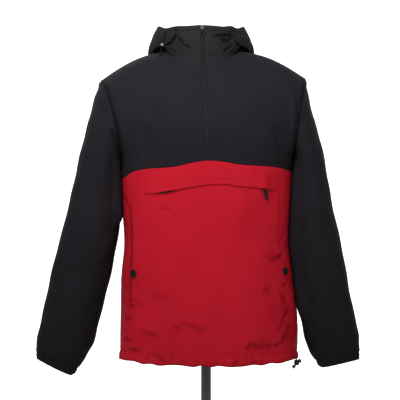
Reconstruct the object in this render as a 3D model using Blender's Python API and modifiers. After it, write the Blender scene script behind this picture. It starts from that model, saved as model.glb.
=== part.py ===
"""Anorak pullover on a dress form: hooded, half-zipped, colour-blocked, with a flapped chest pocket.

Run with: blender --background --python part.py

Metres, +Z up. The front faces -Y, and left and right are as seen from the front. The origin is the
centre of the stand's foot, on the floor. Each cut piece is a wall of cloth between an outer and an
inner skin, worked out from a few section tables, and neighbouring pieces share their seam points.
"""

import math

import bmesh
import bpy
import numpy as np
from mathutils import Matrix, Vector


def table(columns, *rows):
    """Rows of numbers under named columns. The first column is the one that is read along."""
    names = columns.split()
    return {"key": names[0], **dict(zip(names, np.array(rows, float).T))}


# ---- Driving dimensions -------------------------------------------------------------------------

CLOTH = 0.0016          # thickness of the shell cloth with its lining
SEAM_GAP = 0.0006       # between two cut pieces, measured across the seam
CLEAR = 0.00035         # between a piece and what lies on it
BOXY = 2.25             # 2 is an ellipse, more is squarer in plan

COLUMNS = 14            # columns of each half of the front or back, from centre to side
SLIT = 0.010            # half of the zip's slit, as a share of centre to side
NECK_COLUMNS = 6        # of those columns, how many end in the neckline
ARMHOLE_ROWS = 10       # rows from the underarm to the shoulder
BAND_ROWS = 2           # rows from the chest seam to the underarm
SLIT_ROW = 1            # the armhole row where the zip starts

UNDERARM_Z = 0.700
LOWER_ROWS = (0.0, 0.022, 0.048, 0.085, 0.135, 0.20, 0.27, 0.35, 0.43, 0.52, 0.61, 0.71, 0.81, 0.91, 1.0)

# Plan sections of the body: the side edges and the depths to front and back.
BODY = table(
    "height left right front back",
    (0.236, -0.2000, 0.2115, 0.128, 0.124),
    (0.262, -0.1965, 0.2090, 0.128, 0.124),
    (0.300, -0.1970, 0.2105, 0.134, 0.130),
    (0.364, -0.1960, 0.2085, 0.136, 0.130),
    (0.437, -0.1950, 0.2010, 0.136, 0.126),
    (0.511, -0.1885, 0.1925, 0.137, 0.124),
    (0.584, -0.1925, 0.1945, 0.139, 0.126),
    (0.658, -0.1960, 0.1980, 0.138, 0.130),
    (0.700, -0.1985, 0.2020, 0.136, 0.132),
)
# The hem and the chest seam, across the front and across the back.
FRONT_LINES = table(
    "across hem seam",
    (-0.190, 0.2480, 0.6570),
    (-0.158, 0.2440, 0.6725),
    (-0.110, 0.2415, 0.6765),
    (-0.068, 0.2405, 0.6790),
    (-0.035, 0.2400, 0.6860),
    (0.005, 0.2395, 0.6915),
    (0.035, 0.2385, 0.6900),
    (0.075, 0.2400, 0.6835),
    (0.157, 0.2420, 0.6805),
    (0.194, 0.2450, 0.6740),
)
BACK_LINES = table(
    "across hem seam",
    (-0.190, 0.2480, 0.6570),
    (-0.100, 0.2440, 0.6740),
    (0.000, 0.2420, 0.6790),
    (0.100, 0.2430, 0.6770),
    (0.194, 0.2450, 0.6740),
)

# The armholes, from the underarm to the shoulder's end, and how far they scoop in at front and back.
SHOULDER_TIP = {"left": (-0.2440, 0.0, 0.889), "right": (0.2300, 0.0, 0.894)}
UNDERARM = {"left": (-0.1985, 0.0, 0.700), "right": (0.2020, 0.0, 0.700)}
ARMHOLE_DEPTH = {"front": 0.086, "back": 0.080}
ARMHOLE_SCOOP = {"left": 0.013, "right": 0.004}
SHOULDER_BOW = 0.013

# The neckline round the neck, and the collar and hood that stand on it.
NECK_X, NECK_Y = -0.009, 0.004
NECK_RADIUS = {"side": 0.079, "front": 0.079, "back": 0.064}
NECKLINE_Z = {"front": 0.919, "side": 0.960, "back": 0.957}
COLLAR_END = 75         # degrees round from the front where the collar meets the hood
HOOD_SPLIT = 150        # degrees where the hood's side meets its middle
HOOD_LEAN = {"left": 0.84, "right": 0.66}    # how far the hood stands out on each side
# A section of collar or hood at each angle: knots at a reach beyond the neckline and a height.
HOOD = table(
    "angle reach_1 height_1 reach_2 height_2 reach_3 height_3 reach_4 height_4 reach_5 height_5",
    (0, 0.0000, 0.929, 0.0010, 0.945, 0.0020, 0.967, 0.0020, 0.988, 0.0010, 1.0060),
    (40, 0.0000, 0.933, 0.0010, 0.949, 0.0020, 0.969, 0.0030, 0.987, 0.0020, 1.0040),
    (70, 0.0020, 0.948, 0.0070, 0.958, 0.0120, 0.972, 0.0140, 0.988, 0.0110, 1.0030),
    (95, 0.0050, 0.969, 0.0260, 0.977, 0.0500, 0.962, 0.0535, 0.982, 0.0300, 1.0140),
    (125, 0.0060, 0.968, 0.0300, 0.968, 0.0740, 0.919, 0.0880, 0.950, 0.0520, 1.0090),
    (155, 0.0060, 0.967, 0.0360, 0.948, 0.0840, 0.838, 0.1190, 0.888, 0.0700, 0.9970),
    (180, 0.0050, 0.966, 0.0380, 0.935, 0.0880, 0.795, 0.1280, 0.865, 0.0770, 0.9920),
)
HOOD_KNOTS = (0.0, 0.12, 0.35, 0.60, 0.80, 1.0)
HOOD_ROWS = 12
EYELETS = {"left": -68, "right": 42}    # degrees round from the front
EYELET_UP = 0.90

# Sleeve sections, from the armhole down: the outer and inner edge as seen from the front.
SLEEVE_LEFT = table(
    "row outer_x outer_z inner_x inner_z depth",
    (0, -0.2440, 0.8890, -0.1985, 0.7000, 0.0830),
    (1, -0.2600, 0.8420, -0.2010, 0.6840, 0.0820),
    (2, -0.2745, 0.7900, -0.2000, 0.6620, 0.0780),
    (3, -0.2865, 0.7360, -0.1980, 0.6340, 0.0740),
    (4, -0.3010, 0.6680, -0.1958, 0.5980, 0.0700),
    (5, -0.3170, 0.6050, -0.1980, 0.5480, 0.0670),
    (6, -0.3335, 0.5290, -0.2110, 0.4800, 0.0640),
    (7, -0.3520, 0.4550, -0.2260, 0.4100, 0.0600),
    (8, -0.3680, 0.3880, -0.2405, 0.3450, 0.0560),
    (9, -0.3795, 0.3270, -0.2555, 0.2900, 0.0520),
    (10, -0.3870, 0.2850, -0.2735, 0.2560, 0.0460),
    (11, -0.3885, 0.2630, -0.2915, 0.2260, 0.0400),
    (12, -0.3864, 0.2486, -0.3070, 0.2110, 0.0360),
)
SLEEVE_RIGHT = table(
    "row outer_x outer_z inner_x inner_z depth",
    (0, 0.2300, 0.8940, 0.2020, 0.7000, 0.0830),
    (1, 0.2390, 0.8420, 0.2045, 0.6840, 0.0820),
    (2, 0.2540, 0.7900, 0.2040, 0.6620, 0.0780),
    (3, 0.2665, 0.7400, 0.2015, 0.6340, 0.0740),
    (4, 0.2795, 0.6680, 0.1985, 0.5980, 0.0700),
    (5, 0.2920, 0.6030, 0.1965, 0.5500, 0.0670),
    (6, 0.3065, 0.5290, 0.1985, 0.4850, 0.0640),
    (7, 0.3200, 0.4550, 0.2060, 0.4180, 0.0610),
    (8, 0.3330, 0.3880, 0.2130, 0.3550, 0.0570),
    (9, 0.3450, 0.3270, 0.2245, 0.3030, 0.0520),
    (10, 0.3495, 0.2880, 0.2350, 0.2700, 0.0460),
    (11, 0.3505, 0.2630, 0.2500, 0.2430, 0.0400),
    (12, 0.3496, 0.2475, 0.2630, 0.2290, 0.0360),
)
SLEEVE_PITCH = -0.012   # the cuffs hang a little forward
SLEEVE_RINGS = 20       # from the armhole to the cuff's seam
CUFF_RINGS = 3

TAB_WIDTH, TAB_LENGTH = 0.0042, 0.0540     # the long tab on the front zip's ring

# The chest pocket under its flap.
FLAP_LEFT, FLAP_RIGHT = -0.143, 0.158
FLAP_EDGE = table(
    "across height",
    (-0.145, 0.6200),
    (-0.105, 0.6210),
    (-0.062, 0.6275),
    (-0.025, 0.6340),
    (0.010, 0.6385),
    (0.042, 0.6395),
    (0.070, 0.6355),
    (0.110, 0.6330),
    (0.160, 0.6290),
)
FLAP_CLOTH = 0.0013
FLAP_STAND_OFF = 0.0048
CHEST_ZIP_WIDTH = 0.008
CHEST_PULL_X = 0.129

# Side pockets: a narrow welt over the opening, closed with a snap.
WELT_WIDTH = 0.022
WELTS = {"left": (-0.1620, 0.368, 0.598), "right": (0.1780, 0.372, 0.598)}
SNAPS = {"left": (-0.1620, 0.4420), "right": (0.1780, 0.4475)}
SNAP_RADIUS, SNAP_HEIGHT = 0.0077, 0.0030

# The stand.
BASE_RADIUS, BASE_THICK = 0.155, 0.012
SOCKET_RADIUS, SOCKET_HEIGHT = 0.030, 0.030
POLE_RADIUS = 0.012
FORM_BOTTOM = 0.285
PLATE_RADIUS, PLATE_THICK = 0.048, 0.010
NECK_TOP = 0.975
# How far the form's skin lies inside the cloth.
FORM_EASE = table(
    "height ease",
    (0.250, 0.0210),
    (0.350, 0.0220),
    (0.450, 0.0250),
    (0.560, 0.0170),
    (0.660, 0.0080),
    (0.740, 0.0045),
    (0.820, 0.0020),
    (0.880, 0.0006),
    (0.960, 0.0005),
)


# ---- Materials and objects ----------------------------------------------------------------------

def material(name, colour, roughness, metallic=0.0):
    made = bpy.data.materials.new(name)
    made.use_nodes = True
    shader = made.node_tree.nodes["Principled BSDF"]
    shader.inputs["Base Color"].default_value = (*colour, 1.0)
    shader.inputs["Roughness"].default_value = roughness
    shader.inputs["Metallic"].default_value = metallic
    return made


def new_object(name, mesh, finish, collection, origin=(0, 0, 0)):
    """A mesh given in world coordinates, kept about its own origin."""
    mesh.transform(Matrix.Translation(-Vector(origin)))
    mesh.materials.append(finish)
    made = bpy.data.objects.new(name, mesh)
    made.location = origin
    collection.objects.link(made)
    return made


def keep_primitive(name, finish, collection, smooth=True):
    """Names the primitive that was just added and moves it to the collection."""
    made = bpy.context.object
    made.name = name
    made.data.name = name
    made.data.materials.append(finish)
    for other in made.users_collection:
        other.objects.unlink(made)
    collection.objects.link(made)
    if smooth:
        made.data.shade_smooth()
        made.data.set_sharp_from_angle(angle=math.radians(40))
    return made


def add_bevel(made, width, segments=2):
    bevel = made.modifiers.new("rounded edges", "BEVEL")
    bevel.width = width
    bevel.segments = segments
    bevel.limit_method = "ANGLE"
    return bevel


# ---- Reading the tables -------------------------------------------------------------------------

def read(rows, column, where):
    """A column read at `where`, on a smooth curve through the rows."""
    x, y = rows[rows["key"]], rows[column]
    slope = np.gradient(y, x)
    where = np.clip(np.asarray(where, float), x[0], x[-1])
    i = np.clip(np.searchsorted(x, where, side="right") - 1, 0, len(x) - 2)
    step = x[i + 1] - x[i]
    t = (where - x[i]) / step
    return (
        (2 * t**3 - 3 * t**2 + 1) * y[i]
        + (t**3 - 2 * t**2 + t) * step * slope[i]
        + (3 * t**2 - 2 * t**3) * y[i + 1]
        + (t**3 - t**2) * step * slope[i + 1]
    )


def ease(t):
    """From 0 to 1, level at both ends."""
    t = min(max(t, 0.0), 1.0)
    return t * t * (3 - 2 * t)


def cubic(start, start_way, end, end_way, t):
    """The point at t on the curve between two points that leaves and arrives as given."""
    return (
        (2 * t**3 - 3 * t**2 + 1) * np.array(start)
        + (t**3 - 2 * t**2 + t) * np.array(start_way)
        + (3 * t**2 - 2 * t**3) * np.array(end)
        + (t**3 - t**2) * np.array(end_way)
    )


# ---- The body's surface -------------------------------------------------------------------------

def body_point(face, share, height):
    """On the body below the underarm. share runs from -1, the left side, to 1, the right side."""
    left, right = read(BODY, "left", height), read(BODY, "right", height)
    across = math.sin(share * math.pi / 2)
    depth = read(BODY, face, height) * (1 - abs(across) ** BOXY) ** (1 / BOXY)
    y = -depth if face == "front" else depth
    return np.array([(left + right) / 2 + (right - left) / 2 * across, y, height])


def neckline(angle):
    """Round the neck, by degrees from the front: positive goes to the right."""
    turn = math.radians(angle)
    front = math.cos(turn) > 0
    depth = NECK_RADIUS["front" if front else "back"]
    if front:
        rise = (1 - math.cos(turn)) ** 0.85
        z = NECKLINE_Z["front"] + (NECKLINE_Z["side"] - NECKLINE_Z["front"]) * rise
    else:
        z = NECKLINE_Z["side"] + (NECKLINE_Z["back"] - NECKLINE_Z["side"]) * -math.cos(turn)
    x = NECK_X + NECK_RADIUS["side"] * math.sin(turn)
    return np.array([x, NECK_Y - depth * math.cos(turn), z])


def top_point(face, share):
    """Along the neckline, then along the shoulder seam to its end."""
    neck_share = NECK_COLUMNS / COLUMNS
    if abs(share) <= neck_share:
        angle = share / neck_share * 90
        return neckline(angle if face == "front" else 180 - angle)
    t = (abs(share) - neck_share) / (1 - neck_share)
    tip = np.array(SHOULDER_TIP["left" if share < 0 else "right"])
    neck = neckline(math.copysign(90, share))
    return neck + (tip - neck) * t + np.array([0, 0, SHOULDER_BOW * math.sin(math.pi * t)])


def armhole_point(side, face, t):
    """From the underarm at 0 to the end of the shoulder at 1, round the front or the back."""
    low, tip = np.array(UNDERARM[side]), np.array(SHOULDER_TIP[side])
    turn = math.pi * (t - 0.5)
    bow = math.cos(turn)
    way = -1 if face == "front" else 1
    scoop = ARMHOLE_SCOOP[side] * (1 if side == "left" else -1)
    swell = np.array([scoop * bow, way * ARMHOLE_DEPTH[face] * bow, 0])
    return (low + tip) / 2 + (tip - low) / 2 * math.sin(turn) + swell


def chest_point(face, share, t):
    """Above the underarm: a column from the body's section up to the neckline or shoulder."""
    inward = 1 if face == "front" else -1

    def plain(at):
        start, end = body_point(face, at, UNDERARM_Z), top_point(face, at)
        k = abs(at) * COLUMNS / NECK_COLUMNS
        at_neck, at_corner = 1 - ease(k), ease(min(k, 2 - k))
        sideways = -math.copysign(0.11 * at_corner, at)
        arrive = np.array([sideways, inward * (0.17 - 0.13 * at_neck), 0.20 * at_neck + 0.03 * at_corner])
        return cubic(start, (0, 0, end[2] - start[2]), end, arrive, t)

    point = plain(share)
    for side, edge in (("left", -1), ("right", 1)):
        pull = ((1 + edge * share) / 2) ** 2.7
        point = point + pull * (armhole_point(side, face, t) - plain(edge))
    return point


def hem_gather(share, up):
    """The hem's cord gathers the cloth: uneven small waves that fade above the casing."""
    column = share * COLUMNS
    wave = math.cos(math.pi * column) * (0.7 + 0.5 * math.sin(2.3 * column + 0.6))
    fade = math.exp(-((up / 0.06) ** 2)) * (1 - abs(share) ** 6)
    return 0.0016 * wave * fade


def body_grid(face, shares):
    """Rows of points from the hem to the top edge, one column for each share."""
    lines = FRONT_LINES if face == "front" else BACK_LINES
    rows = []
    for up in LOWER_ROWS:
        row = []
        for share in shares:
            x = body_point(face, share, 0.45)[0]
            hem, seam = read(lines, "hem", x), read(lines, "seam", x)
            point = body_point(face, share, hem + (seam - hem) * up)
            way = np.array([point[0], point[1], 0])
            row.append(point + way / np.linalg.norm(way) * hem_gather(share, up))
        rows.append(row)
    for i in range(1, BAND_ROWS):
        seam_row, t = rows[len(LOWER_ROWS) - 1], i / BAND_ROWS
        rows.append([body_point(face, s, p[2] + (UNDERARM_Z - p[2]) * t) for s, p in zip(shares, seam_row)])
    for i in range(ARMHOLE_ROWS + 1):
        rows.append([chest_point(face, share, i / ARMHOLE_ROWS) for share in shares])
    return np.array(rows)


# ---- Walls of cloth -----------------------------------------------------------------------------

def face_normals(grid, closed):
    """One normal for each quad, as long as twice its area."""
    right = np.roll(grid, -1, axis=1) if closed else grid[:, 1:]
    left = grid if closed else grid[:, :-1]
    return np.cross(right[1:] - left[:-1], left[1:] - right[:-1])


def unit(vectors):
    return vectors / np.maximum(np.linalg.norm(vectors, axis=-1, keepdims=True), 1e-12)


def shared_normals(grids, closed_grids):
    """Outward unit normals for every point, the same on both sides of a seam.

    Where two pieces turn back on each other at their seam, each keeps its own.
    """
    seams, own = {}, []

    def key(point):
        return tuple(np.round(point, 6))

    for grid, closed in zip(grids, closed_grids):
        total = np.zeros_like(grid)
        normals = unit(face_normals(grid, closed))
        for r, c in np.ndindex(normals.shape[:2]):
            for i, j in ((0, 0), (0, 1), (1, 0), (1, 1)):
                total[r + i, (c + j) % grid.shape[1]] += normals[r, c]
        own.append(unit(total))
        for index in np.ndindex(grid.shape[:2]):
            seams.setdefault(key(grid[index]), []).append(own[-1][index])
    result = []
    for grid, ways in zip(grids, own):
        out = np.empty_like(grid)
        for index in np.ndindex(grid.shape[:2]):
            meeting = seams[key(grid[index])]
            out[index] = sum(n for n in meeting if n @ ways[index] > -0.25)
        result.append(unit(out))
    return result


def splits(grid, closed=False):
    """Which diagonal cuts each quad: true from its low first corner, false from its low last one."""
    following = np.roll(grid, -1, axis=1)
    first = np.linalg.norm(following[1:] - grid[:-1], axis=-1)
    second = np.linalg.norm(grid[1:] - following[:-1], axis=-1)
    return first <= second + 1e-7


def trimmed(grid, edges):
    """The grid with its named edges drawn in by half a seam gap."""
    grid = grid.copy()
    ends = {"low": (0, 1, 0), "high": (-1, -2, 0), "first": (0, 1, 1), "last": (-1, -2, 1)}
    for edge in edges:
        at, inner, axis = ends[edge]
        line = np.take(grid, at, axis=axis)
        way = np.take(grid, inner, axis=axis) - line
        length = np.linalg.norm(way, axis=-1, keepdims=True)
        line = line + way / np.maximum(length, 1e-9) * SEAM_GAP / 2
        if axis == 0:
            grid[at] = line
        else:
            grid[:, at] = line
    return grid


def wall_mesh(name, outer, inner, closed=False, without=(), split=None):
    """A closed wall between two grids. `without` names (row, column) quads that are left open."""
    rows, columns = outer.shape[:2]
    split = splits(outer) if split is None else split
    points = np.concatenate([outer.reshape(-1, 3), inner.reshape(-1, 3)])
    half = rows * columns
    spans = columns if closed else columns - 1
    quads = {(r, c) for r in range(rows - 1) for c in range(spans)} - set(without)

    def at(r, c, skin=0):
        return skin * half + r * columns + c % columns

    faces = []
    for r, c in sorted(quads):
        corners = ((r, c), (r, c + 1), (r + 1, c + 1), (r + 1, c))
        halves = ((0, 1, 2), (0, 2, 3)) if split[r, c] else ((0, 1, 3), (1, 2, 3))
        for one in halves:
            faces.append([at(*corners[i]) for i in one])
            faces.append([at(*corners[i], skin=1) for i in reversed(one)])
        beyond = ((r - 1, c), (r, c + 1), (r + 1, c), (r, c - 1))
        for i, (nr, nc) in enumerate(beyond):
            if (nr, nc % columns if closed else nc) in quads:
                continue
            a, b = corners[i], corners[(i + 1) % 4]
            faces.append([at(*b), at(*a), at(*a, skin=1), at(*b, skin=1)])
    mesh = bpy.data.meshes.new(name)
    mesh.from_pydata(points.tolist(), [], faces)
    tidy_mesh(mesh)
    return mesh


def tidy_mesh(mesh):
    """Merges the points that fall together, drops loose ones and turns the faces out."""
    work = bmesh.new()
    work.from_mesh(mesh)
    bmesh.ops.remove_doubles(work, verts=work.verts, dist=1e-6)
    bmesh.ops.delete(work, geom=[v for v in work.verts if not v.link_faces], context="VERTS")
    bmesh.ops.recalc_face_normals(work, faces=work.faces)
    work.to_mesh(mesh)
    work.free()
    mesh.shade_smooth()
    mesh.set_sharp_from_angle(angle=math.radians(50))


def laid_on(grid, normals, columns, rows_by_column):
    """Points on a panel's own facets, at fractional columns and rows, and the way out there."""
    split = splits(grid)

    def facet(source, r, c, u, v):
        a, b, d, e = source[r, c], source[r, c + 1], source[r + 1, c], source[r + 1, c + 1]
        if split[r, c]:
            return a + u * (b - a) + v * (e - b) if u > v else a + u * (e - d) + v * (d - a)
        if u + v < 1:
            return a + u * (b - a) + v * (d - a)
        return e + (1 - u) * (d - e) + (1 - v) * (b - e)

    points, ways = [], []
    for column, rows in zip(columns, rows_by_column):
        c = min(int(column), grid.shape[1] - 2)
        at = [(min(int(row), grid.shape[0] - 2), row) for row in rows]
        points.append([facet(grid, r, c, column - c, row - r) for r, row in at])
        ways.append([facet(normals, r, c, column - c, row - r) for r, row in at])
    return np.array(points).transpose(1, 0, 2), unit(np.array(ways)).transpose(1, 0, 2)


def column_at(grid, row, x):
    """The fractional column of a front panel where that row passes x."""
    return float(np.interp(x, grid[row, :, 0], np.arange(grid.shape[1])))


def row_at(grid, column, height):
    """The fractional row of a panel where that fractional column passes a height."""
    c = min(int(column), grid.shape[1] - 2)
    heights = grid[:, c, 2] * (1 - column + c) + grid[:, c + 1, 2] * (column - c)
    return float(np.interp(height, heights, np.arange(grid.shape[0])))


def span(first, last, parts=None):
    """From first to last with every whole number between, or cut into even parts."""
    if parts:
        return list(np.linspace(first, last, parts + 1))
    return [first, *range(math.floor(first) + 1, math.ceil(last)), last]


# ---- Sleeves ------------------------------------------------------------------------------------

def sleeve_point(side, row, share):
    """On a sleeve. share runs from 0 at the inner edge, round the front, and back to it at 1."""
    rows = SLEEVE_LEFT if side == "left" else SLEEVE_RIGHT
    outer = np.array([read(rows, "outer_x", row), 0, read(rows, "outer_z", row)])
    inner = np.array([read(rows, "inner_x", row), 0, read(rows, "inner_z", row)])
    turn = 2 * math.pi * share - math.pi / 2
    front = math.cos(turn) > 0
    down = row / 12
    hole = max(0.0, 1 - row / 2.5)
    depth = read(rows, "depth", row)
    depth = depth + (ARMHOLE_DEPTH["front" if front else "back"] - 0.083) * hole
    scoop = ARMHOLE_SCOOP[side] * (1 if side == "left" else -1) * hole
    middle = (outer + inner) / 2 + (outer - inner) / 2 * math.sin(turn)
    swell = np.array([scoop * abs(math.cos(turn)), -depth * math.cos(turn), 0])
    return middle + swell + np.array([0, SLEEVE_PITCH * ease(down * 1.2), 0])


def sleeve_grid(side, armhole):
    """Rings from the armhole's own seam points down to the cuff's end."""
    around = len(armhole)
    seam_row = 11.0
    rings = [armhole]
    levels = [seam_row * (i / SLEEVE_RINGS) for i in range(1, SLEEVE_RINGS + 1)]
    levels += [seam_row + (i / CUFF_RINGS) for i in range(1, CUFF_RINGS + 1)]
    for level in levels:
        ring = [sleeve_point(side, level, i / around) for i in range(around)]
        if side == "right":
            ring = [ring[0], *ring[:0:-1]]
        rings.append(ring)
    return np.array(rings)


# ---- Collar and hood ----------------------------------------------------------------------------

def hood_point(angle, t):
    """On the collar or hood, by degrees from the front, from the neckline at 0 to the rim at 1."""
    turn = (angle + 180) % 360 - 180
    side = abs(turn)
    base = neckline(turn)
    lean = HOOD_LEAN["right" if turn > 0 else "left"]
    lean = lean + (1 - lean) * ease((side - 95) / 60)
    knots = [(0.0, base[2])]
    for i in (1, 2, 3, 4, 5):
        knots.append((lean * read(HOOD, f"reach_{i}", side), read(HOOD, f"height_{i}", side)))
    profile = table("t reach height", *[(t, *knot) for t, knot in zip(HOOD_KNOTS, knots)])
    way = np.array([math.sin(math.radians(turn)), -math.cos(math.radians(turn)), 0])
    reach, height = read(profile, "reach", t), read(profile, "height", t)
    return np.array([base[0], base[1], 0]) + way * reach + np.array([0, 0, height])


def hood_grid(base, angles, rows):
    """Rows from the neckline's own seam points up to the rim."""
    grid = [base]
    for i in range(1, rows + 1):
        grid.append([hood_point(angle, i / rows) for angle in angles])
    return np.array(grid)


def make_cloth(finishes, collection):
    """The cut pieces of the garment, and what lies on them."""
    black, red = finishes["black cloth"], finishes["red cloth"]
    half = [i / COLUMNS for i in range(1, COLUMNS + 1)]
    front_shares = [-s for s in reversed(half)] + [-SLIT, SLIT] + half
    back_shares = [s for s in reversed(half)] + [0.0] + [-s for s in half]
    front, back = body_grid("front", front_shares), body_grid("back", back_shares)
    seam_row = len(LOWER_ROWS) - 1
    hole_row = seam_row + BAND_ROWS

    # Each armhole's seam points, from the underarm up the front and down the back.
    hole = {
        "left": np.concatenate([front[hole_row:, 0], back[hole_row + 1:-1, -1][::-1]]),
        "right": np.concatenate([[front[hole_row, -1]], back[hole_row + 1:-1, 0], front[hole_row + 1:, -1][::-1]]),
    }
    sleeves = {side: sleeve_grid(side, hole[side]) for side in hole}

    # The neckline's seam points from the front's right edge of the slit, right round to its left edge.
    middle = len(front_shares) // 2
    first, last = middle - 1 - NECK_COLUMNS, middle + NECK_COLUMNS
    back_first, back_last = COLUMNS - NECK_COLUMNS, COLUMNS + NECK_COLUMNS
    neck = [*front[-1, middle:last + 1], *back[-1, back_first + 1:back_last + 1], *front[-1, first + 1:middle]]
    slit_angle = SLIT * COLUMNS / NECK_COLUMNS * 90
    step = 90 / NECK_COLUMNS
    neck_angles = [slit_angle, *[step * k for k in range(1, 24)], 360 - slit_angle]
    fine_neck, angles = [], []
    for i in range(len(neck) - 1):
        fine_neck += [neck[i], (neck[i] + neck[i + 1]) / 2]
        angles += [neck_angles[i], (neck_angles[i] + neck_angles[i + 1]) / 2]
    fine_neck, angles = np.array([*fine_neck, neck[-1]]), [*angles, neck_angles[-1]]
    hood = hood_grid(fine_neck, angles, HOOD_ROWS)

    grids = [front, back, sleeves["left"], sleeves["right"], hood]
    ways = shared_normals(grids, (False, False, True, True, False))
    front_way, back_way, left_way, right_way, hood_way = ways
    hood_way[0, 1::2] = (hood_way[0, :-1:2] + hood_way[0, 2::2]) / 2
    # Under the arm, where body and sleeve lie back to back, the sleeve starts a little further out.
    for side, way in (("left", -1), ("right", 1)):
        ring = sleeves[side][0]
        for i in range(len(ring)):
            ring[i, 0] += way * 0.0008 * max(0.0, math.cos(2 * math.pi * i / len(ring))) ** 2

    def panel(name, finish, grid, way, edges, closed=False, without=()):
        inner = trimmed(grid - way * CLOTH, edges)
        mesh = wall_mesh(name, trimmed(grid, edges), inner, closed, without, splits(grid))
        return new_object(name, mesh, finish, collection)

    slit_column = middle - 1
    slit = [(r, slit_column) for r in range(BAND_ROWS + SLIT_ROW, BAND_ROWS + ARMHOLE_ROWS)]
    for name, finish, grid, way, low, high, without in (
        ("front_lower", red, front, front_way, 0, seam_row, ()),
        ("back_lower", red, back, back_way, 0, seam_row, ()),
        ("front_yoke", black, front, front_way, seam_row, None, slit),
        ("back_yoke", black, back, back_way, seam_row, None, ()),
    ):
        rows = slice(low, high + 1 if high else None)
        edges = ("first", "last", "high") if low == 0 else ("first", "last", "high", "low")
        panel(name, finish, grid[rows], way[rows], edges, without=without)

    for side, way in (("left", left_way), ("right", right_way)):
        grid = sleeves[side]
        panel(f"sleeve_{side}", black, grid[:SLEEVE_RINGS + 1], way[:SLEEVE_RINGS + 1], ("low", "high"), True)
        panel(f"cuff_{side}", black, grid[SLEEVE_RINGS:], way[SLEEVE_RINGS:], ("low",), True)

    # The collar and hood are cut across at the given angles.
    def column_of(angle):
        return min(range(len(angles)), key=lambda i: abs(angles[i] - angle))

    cuts = [0, column_of(COLLAR_END), column_of(HOOD_SPLIT), column_of(360 - HOOD_SPLIT)]
    cuts += [column_of(360 - COLLAR_END), len(angles) - 1]
    names = ("collar_right", "hood_side_right", "hood_middle", "hood_side_left", "collar_left")
    for name, start, stop in zip(names, cuts, cuts[1:]):
        edges = {"low", "first", "last"}
        if name == "collar_right":
            edges.remove("first")
        if name == "collar_left":
            edges.remove("last")
        every = 2 if name.startswith("collar") else 1
        piece, way = hood[::every, start:stop + 1], hood_way[::every, start:stop + 1]
        panel(name, black, piece, way, sorted(edges))

    make_front_zip(front, front_way, hood, hood_way, slit_column, finishes, collection)
    make_chest_pocket(front[:seam_row + 1], front_way[:seam_row + 1], finishes, collection)
    make_side_pockets(front[:seam_row + 1], front_way[:seam_row + 1], finishes, collection)
    make_hem_cord(front[:seam_row + 1], front_way[:seam_row + 1], finishes, collection)
    make_hood_cord(finishes, collection)
    make_form(front, back, front_way, back_way, finishes, collection)


# ---- The zips -----------------------------------------------------------------------------------

def flat_frame(point, way):
    """A matrix at a point with local X across the cloth, local Y up it and local Z out of it."""
    out = Vector(way).normalized()
    across = Vector((0, 0, 1)).cross(out).normalized()
    up = out.cross(across)
    turn = Matrix((across, up, out)).transposed().to_4x4()
    return Matrix.Translation(Vector(point)) @ turn


def rounded_block(name, frame, size, bevel, finish, collection):
    """A small hard block with rounded edges, sized along the frame's own axes."""
    bpy.ops.mesh.primitive_cube_add(size=1)
    made = keep_primitive(name, finish, collection)
    made.data.transform(Matrix.Diagonal((*size, 1)))
    made.matrix_world = frame
    add_bevel(made, bevel)
    return made


def make_front_zip(front, front_way, hood, hood_way, slit_column, finishes, collection):
    """The zip's chain in its slit, its slider at the collar's top and the ring that hangs from it."""
    start = len(LOWER_ROWS) - 1 + BAND_ROWS + SLIT_ROW
    left = np.concatenate([front[start:, slit_column], hood[2::2, -1]])
    right = np.concatenate([front[start:, slit_column + 1], hood[2::2, 0]])
    way = np.concatenate([front_way[start:, slit_column], hood_way[2::2, 0]])
    way[:, 0] = 0
    way /= np.linalg.norm(way, axis=1, keepdims=True)
    across = right - left
    across /= np.linalg.norm(across, axis=1, keepdims=True)
    outer = np.stack([left + across * CLEAR, right - across * CLEAR], axis=1)
    outer[0] += (outer[1] - outer[0]) * 0.02
    inner = outer - way[:, None] * 0.0012
    new_object("front_zip", wall_mesh("front_zip", outer, inner), finishes["zip tape"], collection)

    # Slider: its back lies on the chain, its top just below the collar's edge.
    top, below = (left[-1] + right[-1]) / 2, (left[-2] + right[-2]) / 2
    up = (top - below) / np.linalg.norm(top - below)
    out = np.cross((1, 0, 0), up)
    size = (0.0078, 0.0100, 0.0030)
    middle = top - up * 0.0058 + out * (0.0010 + size[2] / 2)
    rounded_block("front_zip_slider", flat_frame(middle, out), size, 0.0008, finishes["metal"], collection)

    # The pull ring hangs straight down just clear of the slider's foot.
    hinge = middle - up * (size[1] / 2 + 0.0014) + out * 0.0010
    ring_pull(hinge, finishes, collection)


def outline_plate(name, loops, thick, hinge, finish, collection):
    """A flat upright plate: closed outlines in x and z about the hinge, inner ones cut holes."""
    shape = bpy.data.curves.new(name, "CURVE")
    shape.dimensions = "2D"
    shape.fill_mode = "BOTH"
    shape.extrude = thick / 2
    for points in loops:
        spline = shape.splines.new("POLY")
        spline.points.add(len(points) - 1)
        for target, (x, y) in zip(spline.points, points):
            target.co = (x, y, 0, 1)
        spline.use_cyclic_u = True
    shape.materials.append(finish)
    made = bpy.data.objects.new(name, shape)
    made.rotation_euler = (math.pi / 2, 0, 0)
    made.location = Vector(hinge)
    collection.objects.link(made)


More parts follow.
